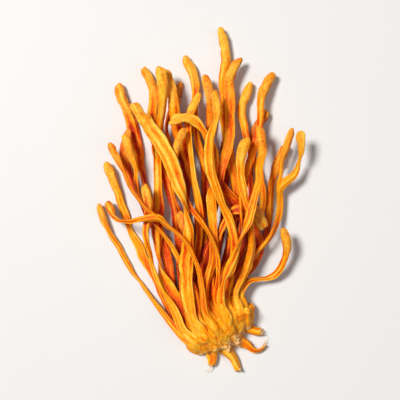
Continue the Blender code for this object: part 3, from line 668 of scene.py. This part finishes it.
def flesh_radius(rng, places, around, head, calm):
    """The outline of each ring as a share of its size, and how far each point is a ridge or a crease."""
    # The dried flesh has shrunk to flat planes that drift round the stem. The head stays rounder.
    planes = rng.randint(*PLANES_RANGE)
    pull = np.zeros((len(places), SIDES))
    for plane in range(planes):
        facing = spaced_turn(rng, plane, planes) + smooth_noise(rng, places, PLANE_DRIFT)
        away = PLANE_AWAY + smooth_noise(rng, places, PLANE_NOISE)
        toward = np.maximum(np.cos(around[None, :] - facing[:, None]), 0)
        pull += (toward / away[:, None]) ** PLANE_EDGE
    planed = pull ** (-1 / PLANE_EDGE)
    radius = planed + HEAD_ROUNDING * (1 - planed) * head[:, None]
    # Creases run along it, come and go, and drift. The head keeps only faint ones.
    folds = rng.randint(*FOLDS_RANGE)
    kept = (1 - FOLD_LOST_ON_HEAD * head) * (FOLD_AT_ROOT + (1 - FOLD_AT_ROOT) * calm)
    for fold in range(folds):
        middle = math.pi / 2 + spaced_turn(rng, fold, folds) + smooth_noise(rng, places, FOLD_DRIFT)
        apart = np.abs((around[None, :] - middle[:, None] + math.pi) % (2 * math.pi) - math.pi)
        wide = rng.uniform(*FOLD_WIDE_RANGE)
        strength = np.clip(FOLD_STRENGTH + smooth_noise(rng, places, FOLD_NOISE), 0, 1)
        depth = rng.uniform(*FOLD_DEPTH_RANGE) * strength * kept
        radius -= depth[:, None] * np.exp(-((apart / wide) ** FOLD_EDGE))
    beside = range(-RIDGE_REACH, RIDGE_REACH + 1)
    ridges = radius - sum(np.roll(radius, turn, axis=1) for turn in beside) / len(beside)
    # The stem is wrinkled in places, and the head is dimpled and lumpy.
    stem = 1 - head
    radius += stem[:, None] * wrap_noise(rng, places, around, STEM_LUMPS)
    wrinkled = np.clip(smooth_noise(rng, places, WRINKLED) + WRINKLED_MORE, 0, 1)
    wrinkled = wrinkled * (WRINKLED_HEAD + (1 - WRINKLED_HEAD) * stem)
    radius += wrinkled[:, None] * wrap_noise(rng, places, around, WRINKLES)
    radius += head[:, None] * wrap_noise(rng, places, around, *HEAD_LUMPS)
    return radius, ridges


def raised(rings, places):
    """The rings, lying a little higher where they would sink into the floor."""
    sunk = np.maximum(-rings[:, :, 2].min(axis=1), 0)
    reach = int(LIFTED_REACH / STEP)
    sunk = np.array([sunk[max(0, ring - reach):ring + reach + 1].max() for ring in range(len(sunk))])
    rings[:, :, 2] += eased(sunk, places, LIFTED_EASE)[:, None]
    return rings


def flesh(growth, route, seed, painted_shade, room, lead, start_size, torn=False):
    """The rings of a dried stem: flattened, folded along its length and wrinkled, with a club head."""
    rng = np.random.RandomState(seed)
    run = run_along(route)
    head_length = growth["head"][0]
    line = np.vstack([lead, route])
    line_run = run_along(line)
    led = line_run[len(lead)]
    places = places_along(growth, run[-1], led)
    into_head = (places - (run[-1] - head_length)) / head_length
    head = ramp(into_head, *HEAD_ZONE) * (0 if torn else 1)
    stem = 1 - head
    calm = ramp(places, 0, CALM_RUN)
    half, thin, twist = flesh_sizes(rng, growth, run, places, into_head, head)
    # It grows out of the clump or its parent a little at a time.
    out = start_size + (1 - start_size) * ramp(places, -led, -LEAD_LAST * led)
    half, thin = half * out, thin * out
    line = points_at(places, line_run - led, line)
    room = np.interp(places, run, room)
    centre, forward, side, upward = flesh_line(rng, seed, places, line, room, calm)

    around = np.linspace(0, 2 * math.pi, SIDES, endpoint=False)
    cosine, sine = np.cos(around), np.sin(around)
    radius, ridges = flesh_radius(rng, places, around, head, calm)
    # Across the flat of the stem, the drying flesh curls one way and then the other.
    curl = stem * np.clip(smooth_noise(rng, places, CURL), -CURL_MOST, CURL_MOST) * calm
    closing = np.clip((into_head - 1) / HEAD_CLOSING + 1, 0, 1)
    shut = (1 - closing ** END_FULLNESS) ** (1 / END_FULLNESS)
    across = (half * shut)[:, None] * cosine * radius
    depth = (thin * (1 - DRIED * stem * calm) * shut)[:, None] * sine * radius
    depth = depth + (0.5 * curl * thin * shut)[:, None] * (2 * cosine ** 2 - 1)
    if torn:
        # The end is a jagged rim round a hollow.
        ragged = wrap_noise(rng, places, around, *RIM)
        back = RIM_DEPTH * (1 - ragged) * ramp(into_head, *RIM_FROM)[:, None]
        back = back + RIM_DEPTH * ramp(closing, *HOLLOW_FROM)[:, None]
    else:
        # Its end is blunt, and sunk in a little or skewed.
        place = shut[:, None] * cosine[None, :]
        notch = rng.uniform(*NOTCH_RANGE) * np.exp(-((place - rng.uniform(*SKEW_RANGE)) / NOTCH_WIDE) ** 2)
        skew = rng.uniform(*SKEW_RANGE) * place
        back = (notch + skew) * half[:, None] * ramp(closing, *BLUNT_FROM)[:, None]
    centre = centre[:, None, :] - forward[:, None, :] * back[:, :, None]
    turn_cos, turn_sin = np.cos(twist)[:, None], np.sin(twist)[:, None]
    sideways = across * turn_cos - depth * turn_sin
    upwards = across * turn_sin + depth * turn_cos
    rings = centre + sideways[:, :, None] * side[:, None, :] + upwards[:, :, None] * upward[:, None, :]
    rings = raised(rings, places)

    ones = np.ones((len(places), SIDES))
    grain = np.stack([GRAIN_WIDE * cosine * ones, GRAIN_WIDE * sine * ones, places[:, None] * ones], axis=2)
    grain = grain + rng.uniform(*GRAIN_RANGE, 3)
    # The painted shade deep in the tuft, under other stems, weaker near the root.
    painted_shade = np.interp(places, run, painted_shade) * (COVER_LEAST + (1 - COVER_LEAST) * ramp(places, *COVER_FROM))
    marks = {
        # Painted shading of the relief: painted shade in the creases, painted highlight on the ridges.
        "painted_relief_shading": np.clip(0.5 + RIDGE_SHOWN * ridges, 0, 1),
        "painted_shade": painted_shade[:, None] * ones,
        "head": head[:, None] * ones,
        "root": np.exp(-np.maximum(places, 0) / ROOT_REACH)[:, None] * ones,
        "torn": (ramp(into_head, *TORN_FROM)[:, None] if torn else 0) * ones,
        "tone": rng.uniform(-1, 1) * ones,
    }
    return rings, grain, marks


def column_map(rows, sides, columns):
    """Where each face of a loft lies in the unit square: the strip is cut into columns side by side."""
    per_column = math.ceil((rows - 1) / columns)
    row = np.repeat(np.arange(rows - 1), sides)
    side = np.tile(np.arange(sides), rows - 1)
    column = row // per_column
    left, right = ((column + SIDE_EDGE + (1 - 2 * SIDE_EDGE) * place / sides) / columns
                   for place in (side, side + 1))
    low, high = (END_EDGE + (1 - 2 * END_EDGE) * (place - column * per_column) / per_column
                 for place in (row, row + 1))
    corners = ((left, low), (left, high), (right, high), (right, low))
    return np.stack([np.column_stack(corner) for corner in corners], axis=1)


def keep_inside(points):
    """The points with what would stand out of the part's box eased back into it."""
    lo, hi = (np.array(corner) / MM for corner in CAD_BOX)
    over = np.maximum((points - hi) / BOX_MARGIN + 1, 0)
    under = np.maximum((lo - points) / BOX_MARGIN + 1, 0)
    under[:, 2] = 0
    points = points - BOX_MARGIN * (over + np.exp(-over) - under - np.exp(-under))
    points[:, 2] = np.maximum(points[:, 2], 0)
    return points


def add_marks(mesh, marks, grain):
    """Stores the values that the material reads on the mesh's points."""
    layer = mesh.attributes.new("grain", "FLOAT_VECTOR", "POINT")
    layer.data.foreach_set("vector", grain.astype(np.float32).ravel())
    for name, values in marks.items():
        layer = mesh.attributes.new(name, "FLOAT", "POINT")
        layer.data.foreach_set("value", values.astype(np.float32).ravel())


def add_object(name, data):
    made = bpy.data.objects.new(name, data)
    bpy.context.scene.collection.objects.link(made)
    return made


def make_piece(name, mesh, material, slot, *nodes):
    """One visible piece on the part's one body, in place of the solids with these names."""
    mesh.materials.append(material)
    mesh.shade_smooth()
    piece = add_object(name, mesh)
    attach(piece, "root")
    if nodes:
        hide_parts(*nodes)


def loft(rings, start, tip):
    """The points and the faces of a closed loft through the rings."""
    rows, sides, _ = np.shape(rings)
    index = np.arange(rows * sides).reshape(rows, sides)
    after = np.roll(index, -1, axis=1)
    quads = np.stack([index[:-1], index[1:], after[1:], after[:-1]], axis=2).reshape(-1, 4)
    foot = np.stack([index[0], after[0], np.full(sides, rows * sides)], axis=1)
    cap = np.stack([after[-1], index[-1], np.full(sides, rows * sides + 1)], axis=1)
    return np.vstack([*rings, start, tip]), [*quads.tolist(), *foot.tolist(), *cap.tolist()]


def mesh_of(name, lofts):
    """A mesh of closed lofts."""
    points, faces = [], []
    for some, sides in lofts:
        faces += [[len(points) + corner for corner in side] for side in sides]
        points += (some * MM).tolist()
    mesh = bpy.data.meshes.new(name)
    mesh.from_pydata(points, [], faces)
    return mesh


def loft_mesh(name, rings, grain, marks):
    """The mesh of the flesh through the rings, with its map and marks."""
    rows, sides, _ = rings.shape
    points, faces = loft(rings, rings[0].mean(axis=0), rings[-1].mean(axis=0))
    mesh = mesh_of(name, [(keep_inside(points), faces)])
    length = run_along(rings.mean(axis=1))[-1]
    girth = np.linalg.norm(rings - np.roll(rings, -1, axis=1), axis=2).sum(axis=1).mean()
    columns = max(1, round(math.sqrt(length / girth)))
    uv = column_map(rows, sides, columns)
    low, high = uv[:sides], uv[-sides:]
    foot = np.stack([low[:, 0], low[:, 3], (low[:, 0] + low[:, 3]) / 2 - (0, FOOT_EDGE)], axis=1)
    cap = np.stack([high[:, 2], high[:, 1], (high[:, 1] + high[:, 2]) / 2 + (0, CAP_EDGE)], axis=1)
    layer = mesh.uv_layers.new(name="OFBake")
    uv = np.vstack([faces.reshape(-1, 2) for faces in (uv, foot, cap)])
    layer.data.foreach_set("uv", uv.astype(np.float32).ravel())
    marks = {key: np.concatenate([value.ravel(), [value[0].mean(), value[-1].mean()]])
             for key, value in marks.items()}
    add_marks(mesh, marks, np.vstack([grain.reshape(-1, 3), grain[0].mean(axis=0), grain[-1].mean(axis=0)]))
    mesh.validate()
    return mesh


def top_of_base(share, along):
    """The height of the clump's top this share of the way from the front wall to the back."""
    fullness = 1 - (min(abs(along) / BASE_HALF_LENGTH, 1)) ** BASE_FULLNESS
    height = BASE_HEIGHT * (BASE_END_HEIGHT + (1 - BASE_END_HEIGHT) * fullness)
    return height * np.interp(share, *zip(*BASE_TOP))


def strand_line(points, radii):
    """A smooth line through the points, and its radius all along."""
    line = smooth_route(points, WALK)
    run = run_along(points)
    return line, np.interp(np.linspace(0, 1, len(line)), run / run[-1], radii)


def strand_loft(points, radii, sides=STRAND_SIDES):
    """A loft with these radii along the points."""
    line, thick = strand_line(points, radii)
    _, side, upward = across_and_up(line)
    around = np.linspace(0, 2 * math.pi, sides, endpoint=False)[None, :, None]
    ring = np.cos(around) * side[:, None, :] + np.sin(around) * upward[:, None, :]
    return loft(line[:, None, :] + thick[:, None, None] * ring, line[0], line[-1])


def core_loft():
    """The inside of the clump, well under its skin of stem ends."""
    rings = []
    reach = CORE_REACH * BASE_HALF_LENGTH
    for along in np.linspace(-reach, reach, CORE_RINGS):
        front, _ = front_wall(along)
        depth = back_edge(along) - front
        top = top_of_base(CREST, along)
        over = [(*(front + share * depth), level * top) for share, level in CORE_OVER]
        under = [(*(front + share * depth), 0) for share in CORE_UNDER]
        ring = np.array(over + under)
        # Its ends are rounded.
        share = 1 - CORE_ROUNDED * max(0, abs(along) / BASE_HALF_LENGTH - CORE_SQUARE) / CORE_ROUNDING
        rings.append(ring.mean(axis=0) * (1 - share) + ring * share)
    middles = [ring.mean(axis=0) for ring in rings]
    lengthways = CORE_ENDS * unit(middles[-1] - middles[0])
    return loft(rings, middles[0] - lengthways, middles[-1] + lengthways)


def clump_strands(routes):
    """The stem ends in the clump: the points and radii of each, from outside to its torn end."""
    rng = np.random.RandomState(CLUMP_SEED)
    strands = {}

    def inward(name, along, root, points, radii, last, thick):
        """Runs a strand on from the front wall to its torn end."""
        front, facing = front_wall(along)
        depth = back_edge(along) - front
        across = np.array([facing[1], -facing[0]])
        drift, sway = rng.uniform(-DRIFT, DRIFT), rng.uniform(-SWAY, SWAY)
        for share in (*STRAND_SHARES, last):
            wide = thick * rng.uniform(*STRAND_RANGE) if share < last else rng.uniform(*STRAND_END_RANGE)
            top = top_of_base(min(share, 1), along)
            level = root * top / top_of_base(CREST, along) + share * rng.uniform(*STRAND_RISE_RANGE)
            level = max(min(level, top - STRAND_UNDER * wide), STRAND_OVER * wide)
            aside = share * drift + math.sin(math.pi * share) * sway
            points.append(np.array([*(front + share * depth + aside * across), level]))
            radii.append(wide)
        strands[name] = (np.array(points), radii)

    for name, growth in STEMS.items():
        sheath = points_at(SHEATH, run_along(routes[name]), routes[name])
        half, thin, _ = section_sizes(growth, np.array([0, *SHEATH[1:], FAR]))
        inward(name, growth["at"], sheath[0, 2], list(sheath[::-1]),
               list(np.array([thin[2], half[1], half[0]]) * SHEATH_SIZES),
               rng.uniform(*STEM_LAST_RANGE), rng.uniform(*STEM_THICK_RANGE))
    for name, growth in STUBS.items():
        back, facing = back_wall(growth["at"])
        sheath = points_at(STUB_SHEATH, run_along(routes[name]), routes[name])
        half, thin, _ = section_sizes(growth, np.array([0, *STUB_SHEATH[1:], FAR]))
        inside = [np.array([*(back - step * facing), sheath[0, 2] * rise]) for step, rise in STUB_INSIDE]
        sizes = np.array([thin[2], thin[1], half[0], half[0], half[0]]) * STUB_SIZES
        strands[name] = (np.array([*sheath[::-1], *inside]), [*sizes, STUB_END])
    # Stumps of stems that broke off, between the others.
    for number, (along, height) in enumerate(LOST):
        front, facing = front_wall(along)
        level = height * top_of_base(CREST, along)
        end = [*(front - rng.uniform(*LOST_BACK_RANGE) * facing), level - rng.uniform(*LOST_DOWN_RANGE)]
        inward(number, along, level, [np.array(end)], [rng.uniform(*LOST_END_RANGE)],
               rng.uniform(*LOST_LAST_RANGE), rng.uniform(*LOST_THICK_RANGE))
    return strands


def thread_strands(strands):
    """Thin threads that run over and between the thick strands."""
    rng = np.random.RandomState(THREAD_SEED)
    threads = []
    lines = [strand for name, strand in strands.items() if name not in STUBS]
    for _ in range(THREADS):
        points, radii = lines[rng.randint(len(lines))]
        line = points[-5:].copy()
        turn = THREAD_TURN * rng.uniform(0, 2 * math.pi, len(line)) + rng.uniform(0, 2 * math.pi)
        away = np.array(radii[-5:]) * rng.uniform(*THREAD_AWAY_RANGE)
        line[:, 0] += away * np.cos(turn)
        line[:, 2] = np.maximum(line[:, 2] + away * np.abs(np.sin(turn)), THREAD_LOWEST)
        thick = rng.uniform(*THREAD_RANGE)
        threads.append((line, [THREAD_FIRST * thick] + [thick] * (len(line) - 2) + [THREAD_LAST * thick]))
    return threads


def drop_crumbs(mesh):
    """Takes out the small closed bits that lie loose inside or beside the main skin."""
    shape = bmesh.new()
    shape.from_mesh(mesh)
    unseen = set(shape.verts)
    while unseen:
        island, edge = set(), {unseen.pop()}
        while edge:
            island |= edge
            edge = {link.other_vert(vert) for vert in edge for link in vert.link_edges} - island
        unseen -= island
        if len(island) < CRUMB:
            bmesh.ops.delete(shape, geom=list(island), context="VERTS")
    shape.to_mesh(mesh)
    shape.free()


def base_mesh(strands):
    """The clump: stem ends grown together round its inside."""
    lofts = [strand_loft(*strand) for strand in [*strands.values(), *thread_strands(strands)]]
    rough = mesh_of("rough", [core_loft(), *lofts])
    helper = add_object("rough", rough)
    remesh = helper.modifiers.new("remesh", "REMESH")
    remesh.mode = "VOXEL"
    remesh.voxel_size = VOXEL * MM
    soft = helper.modifiers.new("soft", "SMOOTH")
    soft.factor, soft.iterations = SMOOTHING
    graph = bpy.context.evaluated_depsgraph_get()
    mesh = bpy.data.meshes.new_from_object(helper.evaluated_get(graph))
    bpy.data.objects.remove(helper)
    bpy.data.meshes.remove(rough)
    drop_crumbs(mesh)
    return mesh


def field_noise(points, stretch, seed, height=1):
    """Smooth random waves in space of about this height, shorter where they are stretched more."""
    rng = np.random.RandomState(seed)
    points = points * stretch
    total = np.zeros(len(points))
    for _ in range(WAVES):
        heading = unit(rng.normal(size=3)) * rng.uniform(*WAVE_RANGE)
        total += np.sin(points @ heading + rng.uniform(0, 2 * math.pi))
    return height * total / math.sqrt(WAVES) / WAVE_PEAK


def strand_place(points, strands):
    """For each point its distance from the nearest strand's middle, as a share of the strand's radius, and
    how far that strand still runs."""
    lines, thick, left = [], [], []
    for strand in strands.values():
        line, radii = strand_line(*strand)
        run = run_along(line)
        lines.append(line)
        thick.append(radii)
        left.append(run[-1] - run)
    lines, thick, left = (np.concatenate(values) for values in (lines, thick, left))
    best = np.empty(len(points), int)
    for start in range(0, len(points), AT_ONCE):
        some = slice(start, start + AT_ONCE)
        apart = np.linalg.norm(points[some, None] - lines[None], axis=2) / thick[None]
        best[some] = apart.argmin(axis=1)
    return np.linalg.norm(points - lines[best], axis=1) / thick[best], left[best]


def point_values(mesh, key):
    """The places or the normals of the mesh's points."""
    values = np.empty(len(mesh.vertices) * 3, np.float32)
    mesh.vertices.foreach_get(key, values)
    return values.reshape(-1, 3).astype(float)


def dress_base(mesh, strands):
    """Fibres along the stem ends, a ragged torn back, and the marks for the material."""
    points, normals = point_values(mesh, "co") / MM, point_values(mesh, "normal")
    flat = points[:, :2] - np.array(BASE_FRONT)
    along, ahead = (flat @ direction for direction in wall_directions())
    deep = -(ahead + 0.5 * along ** 2 / BASE_BULGE_RADIUS)
    backward = deep / (BASE_DEPTH * (1 - BASE_THINNING * (along / BASE_HALF_LENGTH) ** 2))
    # The stems fan out, so the place along the wall is followed back along the fan.
    fan = along / (1 - FAN * deep / BASE_BULGE_RADIUS)
    grain = np.column_stack([fan, points[:, 2], deep])
    share, left = strand_place(points, strands)
    fibres = field_noise(grain, *STRINGS) + CREASE_LEVEL
    for depth, wide, stretch, seed in CREASES:
        fibres -= depth * np.exp(-(field_noise(grain, stretch, seed) / wide) ** 2)
    lumps = field_noise(points, *LUMPS)
    torn = ramp(backward, *TORN_BACK) * (1 - ramp(left, *TORN_LEFT))
    torn = np.clip(torn + TORN_EDGE * ramp(backward, *TORN_EDGE_FROM), 0, 1)
    crumb = sum(field_noise(points, *row) for row in CRUMBS)
    calm = ramp(deep, *CLUMP_FRONT)
    moved = points + normals * (calm * (fibres + lumps) + torn * crumb)[:, None]
    mesh.vertices.foreach_set("co", (keep_inside(moved) * MM).astype(np.float32).ravel())
    mesh.update()
    shown, (dark, paler) = CLUMP_RELIEF_SHADING, CLUMP_SHADE
    marks = {
        # Painted shading of the relief: lighter on the strands' middles and on the raised fibres and lumps,
        # darker in the creases between.
        "painted_relief_shading": np.clip(shown[0] + shown[1] * (1 - share) + shown[2] * fibres + shown[3] * lumps, 0, 1),
        "head": np.zeros(len(points)),
        # Painted shade, strongest low down at the front wall; it fades towards the back, is gone higher up
        # where the clump is taken as lit, and leaves the torn flesh.
        "painted_shade": (dark - paler * ramp(deep, *PALER_FROM)) * (1 - ramp(points[:, 2], *LIT_FROM)) * (1 - torn),
        "root": ramp(deep, *CLUMP_ROOT),
        "torn": torn * np.clip(TORN_SHOWN + field_noise(points, *TORN_PATCHES), 0, 1),
        "tone": field_noise(points, *TONE_PATCHES),
    }
    add_marks(mesh, marks, grain * CLUMP_GRAIN + CLUMP_GRAIN_AT)


def fibre_mesh(strands, routes):
    """Torn fibres that stand off the ends of the clump's strands."""
    rng = np.random.RandomState(FIBRE_SEED)
    lofts = []
    ends = [(points[-1], points[-2], radii[-1]) for name, (points, radii) in strands.items()
            if name not in STUBS]
    ends += [(routes[name][-3], routes[name][-5], STUB_FIBRES) for name in STUBS]
    for end, before, radius in ends:
        ahead = unit(end - before)
        for _ in range(rng.randint(*FIBRES_RANGE)):
            spread = rng.normal(size=3) * FIBRE_SPREAD
            start = end + FIBRE_OUT * radius * spread / max(1, np.linalg.norm(spread)) - FIBRE_BACK * ahead
            reach = rng.uniform(*FIBRE_REACH_RANGE)
            middle, tip = (start + (FIBRE_LEAST + share * reach) * ahead + bend * reach * rng.normal(size=3)
                           for share, bend in FIBRE_BENDS)
            line = np.array([start, middle, tip])
            line[:, 2] = np.maximum(line[:, 2], FIBRE_LOWEST)
            thick = rng.uniform(*FIBRE_RANGE)
            points, faces = strand_loft(line, thick * np.array(FIBRE_TAPER), FIBRE_SIDES)
            lofts.append((keep_inside(points), faces))
    return mesh_of("fibres", lofts)


class Graph:
    """A short way to build a material's nodes."""

    def __init__(self, name):
        self.material = bpy.data.materials.new(name)
        self.material.use_nodes = True
        self.nodes = self.material.node_tree.nodes
        self.links = self.material.node_tree.links
        self.shader = self.nodes["Principled BSDF"]

    def set(self, made, inputs):
        """Joins other nodes' outputs to the inputs, and sets the others to their values."""
        for key, value in inputs.items():
            if hasattr(value, "is_output"):
                self.links.new(value, made.inputs[key])
            else:
                made.inputs[key].default_value = value

    def node(self, kind, inputs, output=0, **settings):
        made = self.nodes.new(kind)
        for key, value in settings.items():
            setattr(made, key, value)
        self.set(made, inputs)
        return made.outputs[output]

    def mark(self, name, output="Fac"):
        return self.node("ShaderNodeAttribute", {}, output, attribute_name=name)

    def math(self, operation, *values, clamp=False):
        return self.node("ShaderNodeMath", dict(enumerate(values)), operation=operation, use_clamp=clamp)

    def noise(self, vector, stretch, detail=2, roughness=0.5):
        mapped = self.node("ShaderNodeMapping", {"Vector": vector, "Scale": stretch})
        return self.node("ShaderNodeTexNoise", {
            "Vector": mapped, "Scale": 1, "Detail": detail, "Roughness": roughness}, "Fac")

    def spread(self, value, low, high, to_low=0, to_high=1):
        return self.node("ShaderNodeMapRange", {
            "Value": value, "From Min": low, "From Max": high, "To Min": to_low, "To Max": to_high})

    def ramp(self, value, stops):
        made = self.nodes.new("ShaderNodeValToRGB")
        self.links.new(value, made.inputs[0])
        elements = made.color_ramp.elements
        while len(elements) < len(stops):
            elements.new(0.5)
        for element, (place, colour) in zip(elements, stops):
            element.position = place
            element.color = (*colour, 1)
        return made.outputs["Color"]

    def mix(self, share, first, second):
        return self.node("ShaderNodeMix", {0: share, 6: first, 7: (*second, 1)}, 2, data_type="RGBA")

    def bump(self, height, distance, strength, below=None):
        inputs = {"Height": height, "Distance": distance, "Strength": strength}
        return self.node("ShaderNodeBump", inputs if below is None else {**inputs, "Normal": below})


def flesh_material(name, base=False):
    """Dried flesh, grained on the heads: painted shade makes it rust red in creases and deep in the tuft, and
    a painted highlight makes it golden on ridges.
    """
    graph = Graph(name)
    grain = graph.mark("grain", "Vector")
    streak = graph.noise(grain, (2.5, 2.5, 0.26), 3, 0.6)
    mottle = graph.noise(grain, (0.55, 0.55, 0.22))
    fine = graph.noise(grain, (6.5, 6.5, 1.5), 3, 0.65)
    grit = graph.noise(grain, (1.9, 1.9, 1.2), 3, 0.6)
    pimples = graph.noise(grain, (3.4, 3.4, 3.4), 1.5)
    head, torn, root = graph.mark("head"), graph.mark("torn"), graph.mark("root")
    # The level starts from the painted shading of the relief: painted shade in the creases, painted highlight
    # on the ridges.
    level = graph.math("MULTIPLY_ADD", graph.mark("painted_relief_shading"), 0.60, 0.30)
    grains = graph.spread(head, 0, 1, 0.22, 0.60)
    for noise, share in ((streak, 0.30), (mottle, 0.24), (fine, 0.20), (grit, grains)):
        level = graph.math("MULTIPLY_ADD", graph.spread(noise, 0.3, 0.7, -0.5, 0.5), share, level)
    # Painted shade deep in the tuft, under other stems.
    level = graph.math("MULTIPLY_ADD", graph.mark("painted_shade"), -0.62, level)
    level = graph.math("MULTIPLY_ADD", graph.mark("tone"), 0.12, level, clamp=True)
    colour = graph.ramp(level, LEVELS)
    paled = graph.math("MULTIPLY", head, graph.spread(mottle, 0.35, 0.7, 0.08, 0.45))
    colour = graph.mix(paled, colour, PALE)
    colour = graph.mix(graph.math("MULTIPLY", root, 0.12 if base else 0.22), colour, GOLD)
    rag = graph.math("MULTIPLY", torn, graph.spread(streak, 0.34, 0.6, 0.25, 1), clamp=True)
    colour = graph.mix(rag, colour, TORN)
    speck = graph.noise(grain, (1.5, 1.5, 0.9) if base else (0.8, 0.8, 0.35), 4, 0.7)
    dirt = graph.spread(speck, *((0.66, 0.74, 0, 0.75) if base else (0.70, 0.78, 0, 0.45)))
    colour = graph.mix(dirt, colour, BROWN)
    relief = graph.bump(streak, 0.00022, 0.7)
    relief = graph.bump(grit, 0.00034, 0.8, relief)
    relief = graph.bump(fine, 0.00012, 0.6, relief)
    relief = graph.bump(graph.math("MULTIPLY", pimples, head), 0.00026, 0.8, relief)
    graph.set(graph.shader, {
        "Base Color": colour, "Roughness": graph.spread(fine, 0.25, 0.75, 0.36, 0.56), "Normal": relief,
        "Subsurface Weight": 0.2, "Subsurface Radius": (1, 0.32, 0.06), "Subsurface Scale": 0.0011,
        "Specular IOR Level": 0.14})
    return graph.material


def fibre_material():
    graph = Graph("torn_fibre")
    place = graph.nodes.new("ShaderNodeNewGeometry").outputs["Position"]
    mottle = graph.noise(place, (900, 900, 900))
    graph.set(graph.shader, {
        "Base Color": graph.ramp(mottle, list(zip((0.35, 0.65), FIBRE_COLOURS))), "Roughness": 0.65,
        "Subsurface Weight": 0.2, "Subsurface Scale": 0.0005})
    return graph.material


def lay_all():
    """The routes of all growths, and the curves that they come out of the clump or their parents on."""
    laid, routes, leads = {}, {}, {}
    for name, growth in STEMS.items():
        place, facing = front_wall(growth["at"])
        routes[name] = lay(name, growth, place + ROOT_GAP * facing, facing, growth["up"], laid)
    for name, growth in BRANCHES.items():
        plan, height, _, wide = laid[growth["parent"]]
        step = int(np.searchsorted(run_along(plan), growth["at"]))
        heading = unit(plan[step + 1] - plan[step - 1])
        sideways = growth["side"] * np.array([-heading[1], heading[0]])
        start = plan[step] + (wide[step] + FORK_GAP) * sideways
        facing = (sideways + FORK_LEAN * heading) / math.hypot(1, FORK_LEAN)
        routes[name] = lay(name, growth, start, facing, height[step], laid)
        leads[name] = fork_lead(routes[growth["parent"]], growth["at"], routes[name])
    for name, growth in STUBS.items():
        place, facing = back_wall(growth["at"])
        routes[name] = lay(name, growth, place + TORN_GAP * facing, facing, growth["up"], laid)
    strands = clump_strands(routes)
    for name in [*STEMS, *STUBS]:
        leads[name] = lead_through(strands[name][0][4:2:-1], routes[name])
    return routes, leads, strands


def build_tuft():
    """All the visible pieces."""
    routes, leads, strands = lay_all()
    stem_flesh = flesh_material("stem_flesh")
    for seed, (name, growth) in enumerate({**STEMS, **BRANCHES, **STUBS}.items(), FIRST_SEED):
        rings, grain, marks = flesh(
            growth, routes[name], seed, shade_under_stems(name, routes), room_round(name, routes), leads[name],
            BRANCH_START if name in BRANCHES else STEM_START, torn=name in STUBS)
        mesh = loft_mesh(name + "_flesh", rings, grain, marks)
        make_piece(name + "_flesh", mesh, stem_flesh, "stem", name)
    mesh = base_mesh(strands)
    dress_base(mesh, strands)
    make_piece("base_flesh", mesh, flesh_material("base_flesh", base=True), "base", "base")
    make_piece("base_fibres", fibre_mesh(strands, routes), fibre_material(), "base")


def add_stage():
    """The floor, the lights and the camera, which looks straight down."""
    lo, hi = CAD_BOX
    centre = (lo + hi) / 2
    graph = Graph("floor")
    graph.set(graph.shader, {"Base Color": (*FLOOR, 1), "Roughness": 0.55})
    mesh = bpy.data.meshes.new("floor")
    corners = [(x * FLOOR_HALF, y * FLOOR_HALF, 0) for x, y in ((-1, -1), (1, -1), (1, 1), (-1, 1))]
    mesh.from_pydata(corners, [], [(0, 1, 2, 3)])
    mesh.materials.append(graph.material)
    floor = add_object("floor", mesh)
    floor.location.z = -FLOOR_DOWN
    for name, (place, size, power, colour) in LAMPS.items():
        lamp = bpy.data.lights.new(name, "AREA")
        lamp.shape = "DISK"
        lamp.size, lamp.energy, lamp.color = size, power, colour
        holder = add_object(name, lamp)
        holder.location = place
        toward = Vector((centre.x, centre.y, LAMPS_AT)) - Vector(place)
        holder.rotation_euler = toward.to_track_quat("-Z", "Y").to_euler()
    world = bpy.data.worlds.new("studio")
    world.use_nodes = True
    sky = world.node_tree.nodes["Background"].inputs
    sky["Color"].default_value = (*SKY, 1)
    sky["Strength"].default_value = SKY_STRENGTH
    bpy.context.scene.world = world
    bpy.context.scene.view_settings.view_transform = "Standard"
    lens = bpy.data.cameras.new("camera")
    lens.lens, lens.sensor_width = LENS, SENSOR
    camera = add_object("camera", lens)
    camera.location = (centre.x, centre.y, FOCUS + (hi.y - lo.y) / FILLED * LENS / SENSOR)
    bpy.context.scene.camera = camera


build_tuft()
add_stage()
